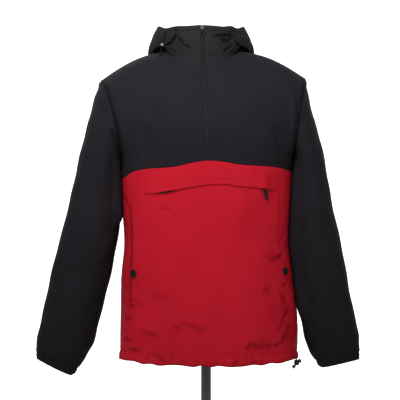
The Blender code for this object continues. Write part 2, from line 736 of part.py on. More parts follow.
def ring_pull(hinge, finishes, collection):
    """A ring on a short neck hangs from the hinge line, and a long slim tab hangs from the ring."""
    radius, hole, neck, drop = 0.0062, 0.0036, 0.0018, 0.0068
    opening = math.asin(neck / radius)
    turns = [math.pi / 2 + opening + (2 * math.pi - 2 * opening) * i / 24 for i in range(25)]
    ring = [(radius * math.cos(a), radius * math.sin(a) - drop) for a in turns]
    ring += [(neck, 0.0004), (neck * 0.5, 0.0009), (-neck * 0.5, 0.0009), (-neck, 0.0004)]
    inside = [(hole * math.cos(a), hole * math.sin(a) - drop) for a in np.linspace(0, 2 * math.pi, 17)[:-1]]
    outline_plate("front_zip_pull", (ring, inside), 0.0014, hinge, finishes["metal"], collection)

    top = -drop - radius - CLEAR
    half, corner, length = TAB_WIDTH / 2, 0.0012, TAB_LENGTH
    tab = []
    for x, z, start in ((1, top, 0), (-1, top, 1), (-1, top - length, 2), (1, top - length, 3)):
        inward = -corner if z == top else corner
        for i in range(4):
            a = math.pi / 2 * (start + i / 3)
            tab.append((x * (half - corner) + corner * math.cos(a), z + inward + corner * math.sin(a)))
    outline_plate("front_zip_tab", (tab,), 0.0020, hinge, finishes["zip metal black"], collection)


def make_chest_pocket(panel, way, finishes, collection):
    """The zip across the chest, the flap that hangs over it and the pull that shows below."""
    seam = panel.shape[0] - 1
    columns = span(column_at(panel, seam - 1, FLAP_LEFT), column_at(panel, seam - 1, FLAP_RIGHT))
    columns = sorted(set(columns) | {c + 0.5 for c in columns[1:-2]})

    def across(column):
        c = min(int(column), panel.shape[1] - 2)
        return panel[seam - 1, c, 0] * (1 - column + c) + panel[seam - 1, c + 1, 0] * (column - c)

    edge = [float(read(FLAP_EDGE, "height", across(c))) for c in columns]
    steps = (0.0, 0.12, 0.35, 0.7, 1.0)
    rows = []
    for column, low in zip(columns, edge):
        high_row, low_row = seam - 0.02, row_at(panel, column, low)
        rows.append([low_row + (high_row - low_row) * t for t in steps])
    points, out = laid_on(panel, way, columns, rows)
    # The flap stands clear of the zip, and gapes a little at the left.
    lift = []
    for t in steps:
        gape = [0.0035 * math.exp(-(((across(c) + 0.090) / 0.022) ** 2)) * (1 - t) for c in columns]
        lift.append([CLEAR + (FLAP_STAND_OFF - CLEAR) * (1 - t) ** 0.5 + g for g in gape])
    lift = np.array(lift)[..., None]
    mesh = wall_mesh("chest_flap", points + out * (lift + FLAP_CLOTH), points + out * lift)
    new_object("chest_flap", mesh, finishes["red cloth"], collection)

    rows = []
    for column, low in zip(columns, edge):
        bottom = row_at(panel, column, low + 0.0035)
        rows.append([bottom, row_at(panel, column, low + 0.0035 + CHEST_ZIP_WIDTH)])
    points, out = laid_on(panel, way, columns[1:-1], rows[1:-1])
    mesh = wall_mesh("chest_zip", points + out * (CLEAR + 0.0009), points + out * CLEAR)
    new_object("chest_zip", mesh, finishes["zip tape"], collection)

    # The slider rides on the chain under the flap's edge, and the pull hangs from its foot.
    column = column_at(panel, seam - 1, CHEST_PULL_X)
    low = float(read(FLAP_EDGE, "height", CHEST_PULL_X))
    point, out = laid_on(panel, way, [column], [[row_at(panel, column, low + 0.0045)]])
    point, out = point[0, 0], out[0, 0]
    size = (0.0070, 0.0100, 0.0026)
    middle = point + out * (CLEAR + 0.0009 + CLEAR + size[2] / 2)
    frame = flat_frame(middle, out)
    rounded_block("chest_zip_slider", frame, size, 0.0006, finishes["zip metal black"], collection)
    pull = (0.0082, 0.0240, 0.0024)
    hinge = frame @ Vector((0, -size[1] / 2 - 0.0014 - pull[2] / 2, pull[2] / 2 - size[2] / 2 + 0.0004))
    lean = frame.to_3x3().to_4x4() @ Matrix.Rotation(math.radians(17), 4, "Z")
    bpy.ops.mesh.primitive_cube_add(size=1)
    made = keep_primitive("chest_zip_pull", finishes["zip metal black"], collection)
    shift = Matrix.Translation((0, -pull[1] / 2 + pull[2] / 2, 0))
    made.data.transform(shift @ Matrix.Diagonal((*pull, 1)))
    made.matrix_world = Matrix.Translation(hinge) @ lean
    add_bevel(made, 0.0011, 3)


# ---- Side pockets -------------------------------------------------------------------------------

def make_side_pockets(panel, way, finishes, collection):
    """A welt over each side pocket's opening, and the snap that closes it."""
    for side, (x, low, high) in WELTS.items():
        row = int(row_at(panel, 1, (low + high) / 2))
        spread = WELT_WIDTH / 2 * math.sqrt(max(0.05, 1 - (x / 0.195) ** 2))
        columns = span(column_at(panel, row, x - spread), column_at(panel, row, x + spread))
        heights = np.linspace(low, high, 9)
        rows = [[row_at(panel, column, height) for height in heights] for column in columns]
        points, out = laid_on(panel, way, columns, rows)
        name = f"pocket_welt_{side}"
        mesh = wall_mesh(name, points + out * (CLEAR + FLAP_CLOTH), points + out * CLEAR)
        new_object(name, mesh, finishes["red cloth"], collection)

        x, z = SNAPS[side]
        column = column_at(panel, int(row_at(panel, 1, z)), x)
        point, out = laid_on(panel, way, [column], [[row_at(panel, column, z)]])
        stand = 2 * CLEAR + FLAP_CLOTH + SNAP_HEIGHT / 2 + 0.0002
        frame = flat_frame(point[0, 0] + out[0, 0] * stand, out[0, 0])
        bpy.ops.mesh.primitive_cylinder_add(vertices=20, radius=SNAP_RADIUS, depth=SNAP_HEIGHT)
        snap = keep_primitive(f"snap_{side}", finishes["snap"], collection)
        snap.matrix_world = frame
        add_bevel(snap, 0.0008, 2)


# ---- Cords --------------------------------------------------------------------------------------

def cord(name, route, radius, finish, collection):
    """A round cord along a smooth curve through its route."""
    route = [Vector(p) for p in route]
    smooth = []
    for i in range(len(route) - 1):
        before = route[max(i - 1, 0)]
        after = route[min(i + 2, len(route) - 1)]
        start_way, end_way = (route[i + 1] - before) / 2, (after - route[i]) / 2
        parts = max(1, round((route[i + 1] - route[i]).length / 0.0035))
        for k in range(parts):
            smooth.append(cubic(route[i], start_way, route[i + 1], end_way, k / parts))
    smooth.append(np.array(route[-1]))
    shape = bpy.data.curves.new(name, "CURVE")
    shape.dimensions = "3D"
    shape.bevel_depth = radius
    shape.bevel_resolution = 2
    shape.use_fill_caps = True
    spline = shape.splines.new("POLY")
    spline.points.add(len(smooth) - 1)
    for target, point in zip(spline.points, smooth):
        target.co = (*point, 1)
    shape.materials.append(finish)
    made = bpy.data.objects.new(name, shape)
    collection.objects.link(made)
    return made


def turned(name, profile, frame, finish, collection, steps=16):
    """A turned piece: an open or closed profile of (radius, height) about the frame's Z."""
    mesh = bpy.data.meshes.new(name)
    count = len(profile)
    edges = [(i, (i + 1) % count) for i in range(count)]
    mesh.from_pydata([(r, 0, h) for r, h in profile], edges, [])
    mesh.materials.append(finish)
    made = bpy.data.objects.new(name, mesh)
    collection.objects.link(made)
    made.matrix_world = frame
    screw = made.modifiers.new("turned", "SCREW")
    screw.steps = screw.render_steps = steps
    screw.use_merge_vertices = True
    screw.merge_threshold = 0.00001
    screw.use_normal_calculate = True
    return made


def along(start, end):
    """A frame at the middle of two points, with local Z from one to the other."""
    start, end = Vector(start), Vector(end)
    turn = (end - start).to_track_quat("Z", "Y").to_matrix().to_4x4()
    return Matrix.Translation((start + end) / 2) @ turn


def rim_frame(angle, t):
    """A point on the collar or hood and the way out of the cloth there."""
    point = Vector(hood_point(angle, t))
    across = Vector(hood_point(angle + 3, t)) - Vector(hood_point(angle - 3, t))
    up = Vector(hood_point(angle, t + 0.05)) - Vector(hood_point(angle, t - 0.05))
    return point, across.cross(up).normalized()


def make_hood_cord(finishes, collection):
    """The eyelets at the collar's rim, and the hood's drawcord that hangs from the left one."""
    for side, angle in EYELETS.items():
        point, out = rim_frame(angle, EYELET_UP)
        bpy.ops.mesh.primitive_torus_add(
            major_radius=0.0034, minor_radius=0.0008, major_segments=18, minor_segments=8
        )
        made = keep_primitive(f"eyelet_{side}", finishes["metal"], collection)
        made.matrix_world = flat_frame(point + out * (0.0008 + 0.0008), out)

    start, out = rim_frame(EYELETS["left"], EYELET_UP)
    away = Vector((out.x, out.y, 0)).normalized()
    route = [
        start + out * 0.0003,
        start + out * 0.0034,
        start + out * 0.0056 + Vector((0, 0, -0.0012)),
        start + away * 0.0078 + Vector((0, 0, -0.0070)),
        start + away * 0.0086 + Vector((-0.0008, 0, -0.0140)),
        start + away * 0.0094 + Vector((-0.0014, -0.001, -0.0225)),
        start + away * 0.0104 + Vector((-0.0026, -0.002, -0.0345)),
        start + away * 0.0116 + Vector((-0.0050, -0.004, -0.0500)),
    ]
    cord("hood_cord", route, 0.00125, finishes["cord"], collection)
    bead = [(0.0016, 0.0030), (0.0031, 0.0029), (0.0040, 0.0012), (0.0040, -0.0012)]
    bead += [(0.0031, -0.0029), (0.0016, -0.0030)]
    turned("hood_cord_stop", bead, along(route[6], route[5]), finishes["metal"], collection)


def make_hem_cord(panel, way, finishes, collection):
    """The hem's elastic comes out near the right side seam, through a cord lock, to a knot."""
    column = column_at(panel, 0, 0.1965)
    point, out = laid_on(panel, way, [column], [[row_at(panel, column, 0.2550)]])
    start, out = Vector(point[0, 0]), Vector(out[0, 0])
    out.z = 0
    out.normalize()
    route = [
        start + out * CLEAR,
        start + out * 0.0036,
        start + out * 0.0062 + Vector((0, 0, -0.0014)),
        start + out * 0.0084 + Vector((0.0006, 0, -0.0050)),
        start + out * 0.0092 + Vector((0.0006, 0, -0.0095)),
        start + out * 0.0096 + Vector((-0.0004, 0, -0.0155)),
        start + out * 0.0098 + Vector((-0.0026, 0, -0.0245)),
    ]
    cord("hem_cord", route, 0.00120, finishes["cord"], collection)
    barrel = [(0.0022, 0.0062), (0.0044, 0.0062), (0.0060, 0.0044), (0.0060, -0.0044)]
    barrel += [(0.0044, -0.0062), (0.0022, -0.0062)]
    turned("hem_cord_lock", barrel, along(route[5], route[4]), finishes["toggle"], collection)


# ---- Dress form and stand -----------------------------------------------------------------------

def make_form(front, back, front_way, back_way, finishes, collection):
    """A limbless torso: the body's own points drawn in, with closed armholes, a neck and a floor."""
    seam_row = len(LOWER_ROWS) - 1
    hole_row = seam_row + BAND_ROWS
    rows = [i for i in range(3, seam_row + 1, 2)] + list(range(seam_row + 1, front.shape[0]))

    centre = np.array([NECK_X, NECK_Y, 0])

    def drawn_in(grid, way):
        depth = CLOTH + read(FORM_EASE, "ease", grid[..., 2])[..., None]
        inside = grid - way * depth
        # It stops short of the armholes' edges, and of the neckline.
        for edge, beside in ((0, 1), (-1, -2)):
            above = slice(hole_row + 1, None)
            inside[above, edge] += (inside[above, beside] - inside[above, edge]) * 0.2
        spare = COLUMNS - NECK_COLUMNS
        base = grid[-1, spare:grid.shape[1] - spare]
        inside[-1, spare:grid.shape[1] - spare] = base + (centre - base) * (0.10, 0.10, 0) - (0, 0, 0.006)
        return inside

    skin = {"front": drawn_in(front, front_way), "back": drawn_in(back, back_way)}
    bottom = rows[0]
    for grid in skin.values():
        grid[bottom, :, 2] = FORM_BOTTOM
    faces = []

    def add(*corners):
        faces.append([Vector(c) for c in corners])

    for grid, cloth in ((skin["front"], front), (skin["back"], back)):
        split = splits(cloth)
        for low, high in zip(rows, rows[1:]):
            for c in range(grid.shape[1] - 1):
                a, b, d, e = grid[low, c], grid[low, c + 1], grid[high, c], grid[high, c + 1]
                for one in ((a, b, e), (a, e, d)) if split[low, c] else ((a, b, d), (b, e, d)):
                    add(*one)

    # Rounded ends where the arms would be.
    for side, front_column, back_column in (("left", 0, -1), ("right", -1, 0)):
        one, two = skin["front"][hole_row:, front_column], skin["back"][hole_row:, back_column]
        way = np.array([-1.0 if side == "left" else 1.0, 0, 0])
        parts = 4
        strip = []
        for q in range(parts + 1):
            t = q / parts
            up = np.sin(np.linspace(0, math.pi, len(one)))[:, None]
            strip.append(one * (1 - t) + two * t + way * 0.014 * math.sin(math.pi * t) * up)
        for a, b in zip(strip, strip[1:]):
            for i in range(len(one) - 1):
                add(a[i], a[i + 1], b[i + 1], b[i])

    # The neck rises from the neckline to a rounded top.
    middle = front.shape[1] // 2
    first, last = middle - 1 - NECK_COLUMNS, middle + NECK_COLUMNS
    back_first, back_last = COLUMNS - NECK_COLUMNS, COLUMNS + NECK_COLUMNS
    ring = np.concatenate([
        skin["front"][-1, first:last + 1],
        skin["back"][-1, back_first + 1:back_last],
    ])
    rings = [ring]
    for share, top in ((0.88, 0.35), (0.84, 0.80), (0.79, 0.95), (0.60, 1.0)):
        lifted = centre + (ring - centre) * np.array([share, share, 1])
        lifted[:, 2] = ring[:, 2] + (NECK_TOP - ring[:, 2]) * top
        rings.append(lifted)
    for low, high in zip(rings, rings[1:]):
        for i in range(len(ring)):
            j = (i + 1) % len(ring)
            add(low[i], low[j], high[j], high[i])
    add(*rings[-1])
    floor = np.concatenate([skin["front"][bottom], skin["back"][bottom, 1:-1]])
    add(*floor)

    points, index, polygons = [], {}, []
    for face in faces:
        polygon = []
        for corner in face:
            key = tuple(round(x, 6) for x in corner)
            if key not in index:
                index[key] = len(points)
                points.append(tuple(corner))
            if index[key] not in polygon:
                polygon.append(index[key])
        if len(polygon) > 2:
            polygons.append(polygon)
    mesh = bpy.data.meshes.new("dress_form")
    mesh.from_pydata(points, [], polygons)
    tidy_mesh(mesh)
    new_object("dress_form", mesh, finishes["form"], collection)


def make_stand(finishes, collection):
    """A round foot, its socket, the pole and the plate that carries the form."""
    pole_top = FORM_BOTTOM - CLEAR - PLATE_THICK - CLEAR
    pole_foot = BASE_THICK + CLEAR
    bpy.ops.mesh.primitive_cylinder_add(vertices=56, radius=BASE_RADIUS, depth=BASE_THICK)
    base = keep_primitive("base_plate", finishes["stand"], collection)
    base.location.z = BASE_THICK / 2
    add_bevel(base, 0.003, 2)
    bpy.ops.mesh.primitive_cylinder_add(vertices=24, radius=POLE_RADIUS, depth=pole_top - pole_foot)
    pole = keep_primitive("pole", finishes["pole"], collection)
    pole.location.z = (pole_top + pole_foot) / 2
    bore = POLE_RADIUS + CLEAR
    half = SOCKET_HEIGHT / 2
    socket = [(bore, half), (0.021, half), (0.023, half - 0.002), (0.024, half - 0.016)]
    socket += [(SOCKET_RADIUS, half - 0.022), (SOCKET_RADIUS, -half), (bore, -half)]
    lift = Matrix.Translation((0, 0, BASE_THICK + CLEAR + half))
    turned("pole_socket", socket, lift, finishes["stand"], collection, steps=28)
    bpy.ops.mesh.primitive_cylinder_add(vertices=36, radius=PLATE_RADIUS, depth=PLATE_THICK)
    plate = keep_primitive("form_plate", finishes["stand"], collection)
    plate.location.z = FORM_BOTTOM - CLEAR - PLATE_THICK / 2
    add_bevel(plate, 0.002, 2)


def main():
    for old in list(bpy.data.objects):
        bpy.data.objects.remove(old, do_unlink=True)
    collection = bpy.data.collections.new("anorak pullover on a dress form")
    bpy.context.scene.collection.children.link(collection)
    finishes = {
        "black cloth": material("black cloth", (0.016, 0.016, 0.019), 0.62),
        "red cloth": material("red cloth", (0.46, 0.013, 0.026), 0.55),
        "zip tape": material("zip tape", (0.012, 0.012, 0.014), 0.5),
        "metal": material("nickel", (0.62, 0.62, 0.63), 0.28, 1.0),
        "zip metal black": material("black pull", (0.012, 0.012, 0.014), 0.45),
        "snap": material("black snap", (0.014, 0.014, 0.016), 0.35),
        "cord": material("black cord", (0.012, 0.012, 0.014), 0.8),
        "toggle": material("black toggle", (0.012, 0.012, 0.014), 0.4),
        "form": material("form jersey", (0.72, 0.68, 0.60), 0.85),
        "pole": material("black gloss", (0.012, 0.012, 0.013), 0.15),
        "stand": material("black steel", (0.02, 0.02, 0.022), 0.35),
    }
    make_cloth(finishes, collection)
    make_stand(finishes, collection)


main()
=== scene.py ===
"""Anorak pullover on a dress form: black shell, red body, flapped chest pocket, hood down the back."""
import math

import bpy
import numpy as np
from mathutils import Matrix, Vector


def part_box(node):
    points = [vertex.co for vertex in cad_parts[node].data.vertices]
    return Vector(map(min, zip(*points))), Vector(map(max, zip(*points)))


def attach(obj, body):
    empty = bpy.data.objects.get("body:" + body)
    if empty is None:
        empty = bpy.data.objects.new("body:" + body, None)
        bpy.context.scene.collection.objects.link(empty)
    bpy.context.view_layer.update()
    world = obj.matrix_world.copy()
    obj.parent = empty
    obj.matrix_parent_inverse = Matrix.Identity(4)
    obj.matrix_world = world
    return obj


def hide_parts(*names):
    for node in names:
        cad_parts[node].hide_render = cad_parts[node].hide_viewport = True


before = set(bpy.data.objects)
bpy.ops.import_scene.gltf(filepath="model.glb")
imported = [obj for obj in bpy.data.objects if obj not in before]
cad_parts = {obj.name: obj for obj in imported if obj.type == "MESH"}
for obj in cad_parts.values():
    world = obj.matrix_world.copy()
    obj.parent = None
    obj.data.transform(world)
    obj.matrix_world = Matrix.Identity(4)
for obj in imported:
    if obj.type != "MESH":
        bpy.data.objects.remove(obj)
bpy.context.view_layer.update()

# ---- Camera ------------------------------------------------------------------------------------
# It stands three metres off at the height of the waist and looks up a little, so the collar is
# seen from below its rim. A long lens keeps the sleeves and the collar free of distortion.
CAMERA_PLACE = (-0.0138, -3.0, 0.451)
CAMERA_LENS, CAMERA_SENSOR = 117, 36
CAMERA_TILT = 3.07  # degrees up
camera = bpy.data.objects.new("camera", bpy.data.cameras.new("camera"))
camera.data.lens, camera.data.sensor_width = CAMERA_LENS, CAMERA_SENSOR
camera.location = CAMERA_PLACE
camera.rotation_euler = (math.radians(90 + CAMERA_TILT), 0, 0)
bpy.context.scene.collection.objects.link(camera)
bpy.context.scene.camera = camera

# ---- Floor, sweep and soft lights --------------------------------------------------------------
# A white paper sweep that glows a little where it rises. A broad disk light stands over the front,
# weak ones to the left and right, and one behind shows the hood and the back.
def worked_finish(name, colour, roughness, own, parts, wires, bump=None, gloss=None):
    """A finish made of its own parts: what each part is and is set to, then what feeds what.
    `bump` is a height and a strength, `gloss` the range of its roughness."""
    made = bpy.data.materials.new(name)
    made.use_nodes = True
    tree = made.node_tree
    laid = {"shader": tree.nodes["Principled BSDF"]}
    parts = {"place": ("TexCoord", {}), **parts}
    if bump:
        parts["bump"] = ("Bump", {"Distance": bump[0], "Strength": bump[1]})
        wires += ", bump.Normal > shader.Normal"
    if gloss:
        parts["gloss"] = ("MapRange", {"To Min": gloss[0], "To Max": gloss[1]})
        wires += ", gloss.Result > shader.Roughness"
    for part, (kind, settings) in parts.items():
        laid[part] = tree.nodes.new("ShaderNode" + kind)
        for key, value in settings.items():
            if key == "stops":
                for stop, (at, tone) in zip(laid[part].color_ramp.elements, value):
                    stop.position, stop.color = at, (*tone, 1)
            elif key.islower():
                setattr(laid[part], key, value)
            else:
                laid[part].inputs[key].default_value = value
    for key, value in {"Base Color": (*colour, 1), "Roughness": roughness, **own}.items():
        laid["shader"].inputs[key].default_value = value
    for wire in wires.split(","):
        (source, leaving), (target, entering) = (end.strip().split(".") for end in wire.split(">"))
        entering = int(entering) if entering.isdigit() else entering
        tree.links.new(laid[source].outputs[leaving], laid[target].inputs[entering])
    return made


bpy.context.scene.view_settings.view_transform = "Standard"
SWEEP = [(-7.0, 0.0), (3.4, 0.0), (4.0, 0.10), (4.5, 0.40), (4.8, 1.0), (4.9, 2.0), (4.9, 8.0)]
SWEEP_HALF_WIDTH = 8.5
sweep_mesh = bpy.data.meshes.new("sweep")
sweep_mesh.from_pydata(
    [(x, y, z) for y, z in SWEEP for x in (-SWEEP_HALF_WIDTH, SWEEP_HALF_WIDTH)],
    [],
    [(2 * i, 2 * i + 1, 2 * i + 3, 2 * i + 2) for i in range(len(SWEEP) - 1)],
)
sweep_mesh.shade_smooth()
sweep = bpy.data.objects.new("sweep", sweep_mesh)
bpy.context.scene.collection.objects.link(sweep)
sweep_mesh.materials.append(worked_finish(
    "white paper", (0.86, 0.86, 0.86), 0.9, {"Emission Color": (1, 1, 1, 1)},
    {
        "depth": ("SeparateXYZ", {}),
        "glow": ("MapRange", {"From Min": 0.9, "From Max": 1.4, "To Min": 0.12, "To Max": 1.0}),
    },
    "place.Object > depth.Vector, depth.Y > glow.Value, glow.Result > shader.Emission Strength",
))

world = bpy.data.worlds.new("studio")
world.use_nodes = True
room_light = world.node_tree.nodes["Background"]
room_light.inputs["Color"].default_value = (1, 1, 1, 1)
room_light.inputs["Strength"].default_value = 0.18
bpy.context.scene.world = world


def soft_light(name, place, target, size, power):
    """A disk light at its place, turned to its target: size in metres, power in watts."""
    light = bpy.data.lights.new(name, "AREA")
    light.shape = "DISK"
    light.size = size
    light.energy = power
    made = bpy.data.objects.new(name, light)
    made.location = place
    made.rotation_euler = (Vector(target) - Vector(place)).to_track_quat("-Z", "Y").to_euler()
    bpy.context.scene.collection.objects.link(made)


soft_light("light over the front", (-0.30, -1.30, 2.05), (0, 0, 0.80), 0.8, 29)
soft_light("light to the left", (-1.9, -1.9, 1.1), (0, 0, 0.6), 0.9, 6)
soft_light("light to the right", (1.9, -1.7, 1.7), (0.1, 0, 0.8), 0.9, 5)
soft_light("light behind", (-0.6, 1.5, 2.3), (0, 0, 0.8), 0.9, 9)


# ---- Drawcords ---------------------------------------------------------------------------------
# The hood's thin braided cord comes out of the eyelet on the left and ends in a knot below its
# metal stop. The hem's elastic comes out near the right side seam, through its cord lock.
GARMENT = "garment_and_stand"


def braided_cord(name, colour, pitch):
    """Braided polyester: diagonal ribs at an even pitch."""
    return worked_finish(
        name, colour, 0.75, {"Specular IOR Level": 0.1},
        {"ribs": ("TexWave", {"bands_direction": "DIAGONAL", "Scale": 1 / pitch, "Distortion": 1.5})},
        "place.Object > ribs.Vector, ribs.Fac > bump.Height, ribs.Fac > gloss.Value",
        bump=(0.0004, 0.7), gloss=(0.62, 0.85),
    )


def fixed_piece(name, shape, finish):
    """A mesh or curve that belongs to the garment and goes where it goes."""
    shape.materials.append(finish)
    made = bpy.data.objects.new(name, shape)
    bpy.context.scene.collection.objects.link(made)
    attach(made, GARMENT)
    return made


def round_cord(name, points, radius, roundness, finish, closed=False):
    """A cord of even thickness through its points."""
    shape = bpy.data.curves.new(name, "CURVE")
    shape.dimensions = "3D"
    shape.bevel_depth = radius
    shape.bevel_resolution = roundness
    shape.use_fill_caps = not closed
    spline = shape.splines.new("POLY")
    spline.points.add(len(points) - 1)
    for target, point in zip(spline.points, points):
        target.co = (*point, 1)
    spline.use_cyclic_u = closed
    return fixed_piece(name, shape, finish)


def curved(t, start, end, leaving, arriving):
    """A smooth curve from start to end, by the ways it leaves and arrives."""
    return (
        start * (2 * t**3 - 3 * t**2 + 1) + leaving * (t**3 - 2 * t**2 + t)
        + end * (3 * t**2 - 2 * t**3) + arriving * (t**3 - t**2)
    )


CORD_STEPS = 6  # points from one place on a cord's route to the next


def cord_line(name, route, radius, finish):
    """A round cord along a smooth curve through its route. Returns the cord and its length."""
    route = [Vector(p) for p in route]
    smooth = []
    for i in range(len(route) - 1):
        before, after = route[max(i - 1, 0)], route[min(i + 2, len(route) - 1)]
        leaving, arriving = (route[i + 1] - before) / 2, (after - route[i]) / 2
        smooth += [curved(k / CORD_STEPS, route[i], route[i + 1], leaving, arriving) for k in range(CORD_STEPS)]
    smooth.append(route[-1])
    made = round_cord(name, smooth, radius, 4, finish)
    return made, sum((b - a).length for a, b in zip(smooth, smooth[1:]))


KNOT_POINTS = 40


def cord_knot(name, place, radius, finish):
    """An overhand knot: one turn of cord drawn into a tight trefoil."""
    points = []
    for i in range(KNOT_POINTS):
        a = 2 * math.pi * i / KNOT_POINTS
        x = (math.sin(a) + 1.6 * math.sin(2 * a)) * radius * 0.62
        z = (math.cos(a) - 1.6 * math.cos(2 * a)) * radius * 0.62
        points.append((place[0] + x, place[1] - math.sin(3 * a) * radius * 0.7, place[2] + z))
    return round_cord(name, points, radius * 0.85, 3, finish, closed=True)


def middle_of(node):
    """The middle of a node's box."""
    low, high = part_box(node)
    return (Vector(low) + Vector(high)) / 2


HOOD_CORD_RADIUS, HEM_CORD_RADIUS = 0.00125, 0.00120
HOOD_KNOT_SIZE, HEM_KNOT_SIZE = 0.0013, 0.0020
black_braid = braided_cord("black braid", (0.011, 0.011, 0.013), 0.0011)
eyelet, stop = middle_of("eyelet_left"), middle_of("hood_cord_stop")
low, high = (Vector(c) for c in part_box("hood_cord"))
away = Vector((-0.93, -0.37, 0))  # out of the eyelet, square to the collar
hood_exit = eyelet + away * 0.0002
hood_route = [
    hood_exit,
    eyelet + away * 0.0026 + Vector((0, 0, -0.0002)),
    eyelet + away * 0.0044 + Vector((0, 0, -0.0030)),
    eyelet + away * 0.0060 + Vector((0, 0, -0.0085)),
    (eyelet + away * 0.0062 + stop) / 2,
    stop + Vector((0.0004, 0.0004, 0.0080)),
    stop,
    stop + Vector((-0.0014, -0.0012, -0.0080)),
    Vector((low.x + 0.0014, low.y + 0.0016, low.z + 0.0030)),
]
hood_cord, hood_cord_length = cord_line("hood_drawcord", hood_route, HOOD_CORD_RADIUS, black_braid)
hood_knot_place = hood_route[-1] + Vector((-0.0004, 0, -0.0014))
hood_knot = cord_knot("hood_drawcord_knot", hood_knot_place, HOOD_KNOT_SIZE, black_braid)
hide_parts("hood_cord")

low, high = (Vector(c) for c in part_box("hem_cord"))
lock = middle_of("hem_cord_lock")
hem_exit = Vector((low.x + 0.0014, low.y + 0.0048, high.z - 0.0012))
hem_route = [
    hem_exit,
    hem_exit + Vector((0.0020, -0.0010, -0.0004)),
    hem_exit + Vector((0.0042, -0.0018, -0.0040)),
    Vector((lock.x - 0.0008, lock.y, lock.z + 0.0100)),
    Vector((lock.x, lock.y, lock.z + 0.0010)),
    Vector((lock.x - 0.0028, lock.y, lock.z - 0.0064)),
    Vector((lock.x - 0.0056, lock.y, lock.z - 0.0082)),
]
hem_cord, hem_cord_length = cord_line("hem_elastic", hem_route, HEM_CORD_RADIUS, black_braid)
hem_knot_place = hem_route[-1] + Vector((-0.0010, 0, -0.0012))
hem_knot = cord_knot("hem_elastic_knot", hem_knot_place, HEM_KNOT_SIZE, black_braid)
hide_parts("hem_cord")


# ---- Stand and dress form ----------------------------------------------------------------------
# A round steel foot with a socket carries a black pole, a plate and a limbless torso that is
# covered with stretched cotton jersey. The garment hangs from its shoulders.
def lacquer(name, colour, roughness, grain):
    """Sprayed lacquer: a faint orange peel and small changes of gloss."""
    return worked_finish(
        name, colour, roughness, {"Coat Weight": 0.4, "Coat Roughness": 0.08},
        {"peel": ("TexNoise", {"Scale": grain, "Detail": 3})},
        "place.Object > peel.Vector, peel.Fac > bump.Height, peel.Fac > gloss.Value",
        bump=(0.0002, 0.12), gloss=(roughness * 0.8, roughness * 1.25),
    )


def jersey(name, colour):
    """Fine cotton jersey: small knit ribs upright and a little unevenness of tone."""
    dark, light = [c * 0.86 for c in colour], [min(1, c * 1.08) for c in colour]
    return worked_finish(
        name, colour, 0.85, {"Sheen Weight": 0.25},
        {
            "ribs": ("TexWave", {"bands_direction": "X", "Scale": 260, "Distortion": 2}),
            "tone": ("TexNoise", {"Scale": 22}),
            "ramp": ("ValToRGB", {"stops": ((0, dark), (1, light))}),
        },
        "place.Object > ribs.Vector, place.Object > tone.Vector, tone.Fac > ramp.Fac, "
        "ramp.Color > shader.Base Color, ribs.Fac > bump.Height",
        bump=(0.0003, 0.35),
    )


SHARP_EDGE = 35  # degrees


def carried_over(name, finish):
    """A hard piece keeps its own shape and takes a finish."""
    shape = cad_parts[name].data
    shape.materials.clear()
    shape.materials.append(finish)
    shape.shade_smooth()
    shape.set_sharp_from_angle(angle=math.radians(SHARP_EDGE))


steel_black = lacquer("satin black steel", (0.016, 0.016, 0.018), 0.34, 420)
for name in ("base_plate", "pole_socket", "form_plate"):
    carried_over(name, steel_black)
carried_over("pole", lacquer("gloss black pole", (0.010, 0.010, 0.011), 0.16, 260))
carried_over("dress_form", jersey("form jersey", (0.66, 0.62, 0.55)))


# ---- Body and yokes ----------------------------------------------------------------------------
# The body is cut as four panels of matt textured nylon: red front and back below, black front and
# back yokes above, sewn together at the chest seam and down the sides. The hem is turned up round
# an elastic, and the front yoke is slit for the zip.
TENTHS = 10000  # tables are written in tenths of a millimetre, and read in metres


def measures(text, units=TENTHS):
    """Rows of whole numbers with commas between them, each number in its column's unit."""
    return np.array([row.split() for row in text.split(",")], float) / units


def table(columns, text, units=TENTHS):
    """Named columns of measures, read along the first."""
    names = columns.split()
    return {"key": names[0], **dict(zip(names, measures(text, units).T))}


def read(rows, column, where):
    """A column read at `where`, on a smooth curve through the rows."""
    x, y = rows[rows["key"]], rows[column]
    slope = np.gradient(y, x)
    where = np.clip(np.asarray(where, float), x[0], x[-1])
    i = np.clip(np.searchsorted(x, where, side="right") - 1, 0, len(x) - 2)
    step = x[i + 1] - x[i]
    return curved((where - x[i]) / step, y[i], y[i + 1], step * slope[i], step * slope[i + 1])


def ease(t):
    """0 up to 0, 1 from 1 on, and a soft S between."""
    t = np.clip(t, 0, 1)
    return t * t * (3 - 2 * t)


def near(off, reach):
    """1 on the spot, 0.37 at its reach, and nothing well beyond it."""
    return np.exp(-((off / reach) ** 2))


def run_along(points):
    """How far along the line each of its points lies."""
    return np.concatenate([[0], np.cumsum(np.linalg.norm(np.diff(points, axis=0), axis=-1))])


FACE_WAY = {"front": -1, "back": 1}
SIDE_WAY = {"left": -1, "right": 1}
BOXY = 2.25  # how square the body's section is: 2 is an ellipse
SLIT = 0.010  # share of the front's half width from its middle to the slit's edge
NECK_SHARE = 6 / 14  # share of the half width where the neckline meets the shoulder
UNDERARM_Z = 0.700
BODY = table(
    "height left right front back",
    "2360 -2000 2115 1280 1240, 2620 -1965 2090 1280 1240, 3000 -1970 2105 1340 1300, 3640 -1960 2085 1360 1300, "
    "4370 -1950 2010 1360 1260, 5110 -1885 1925 1370 1240, 5840 -1925 1945 1390 1260, 6580 -1960 1980 1380 1300, "
    "7000 -1985 2020 1360 1320",
)
FRONT_LINES = table(
    "across hem seam",
    "-1900 2480 6570, -1580 2440 6725, -1100 2415 6765, -680 2405 6790, -350 2400 6860, 50 2395 6915, "
    "350 2385 6900, 750 2400 6835, 1570 2420 6805, 1940 2450 6740",
)
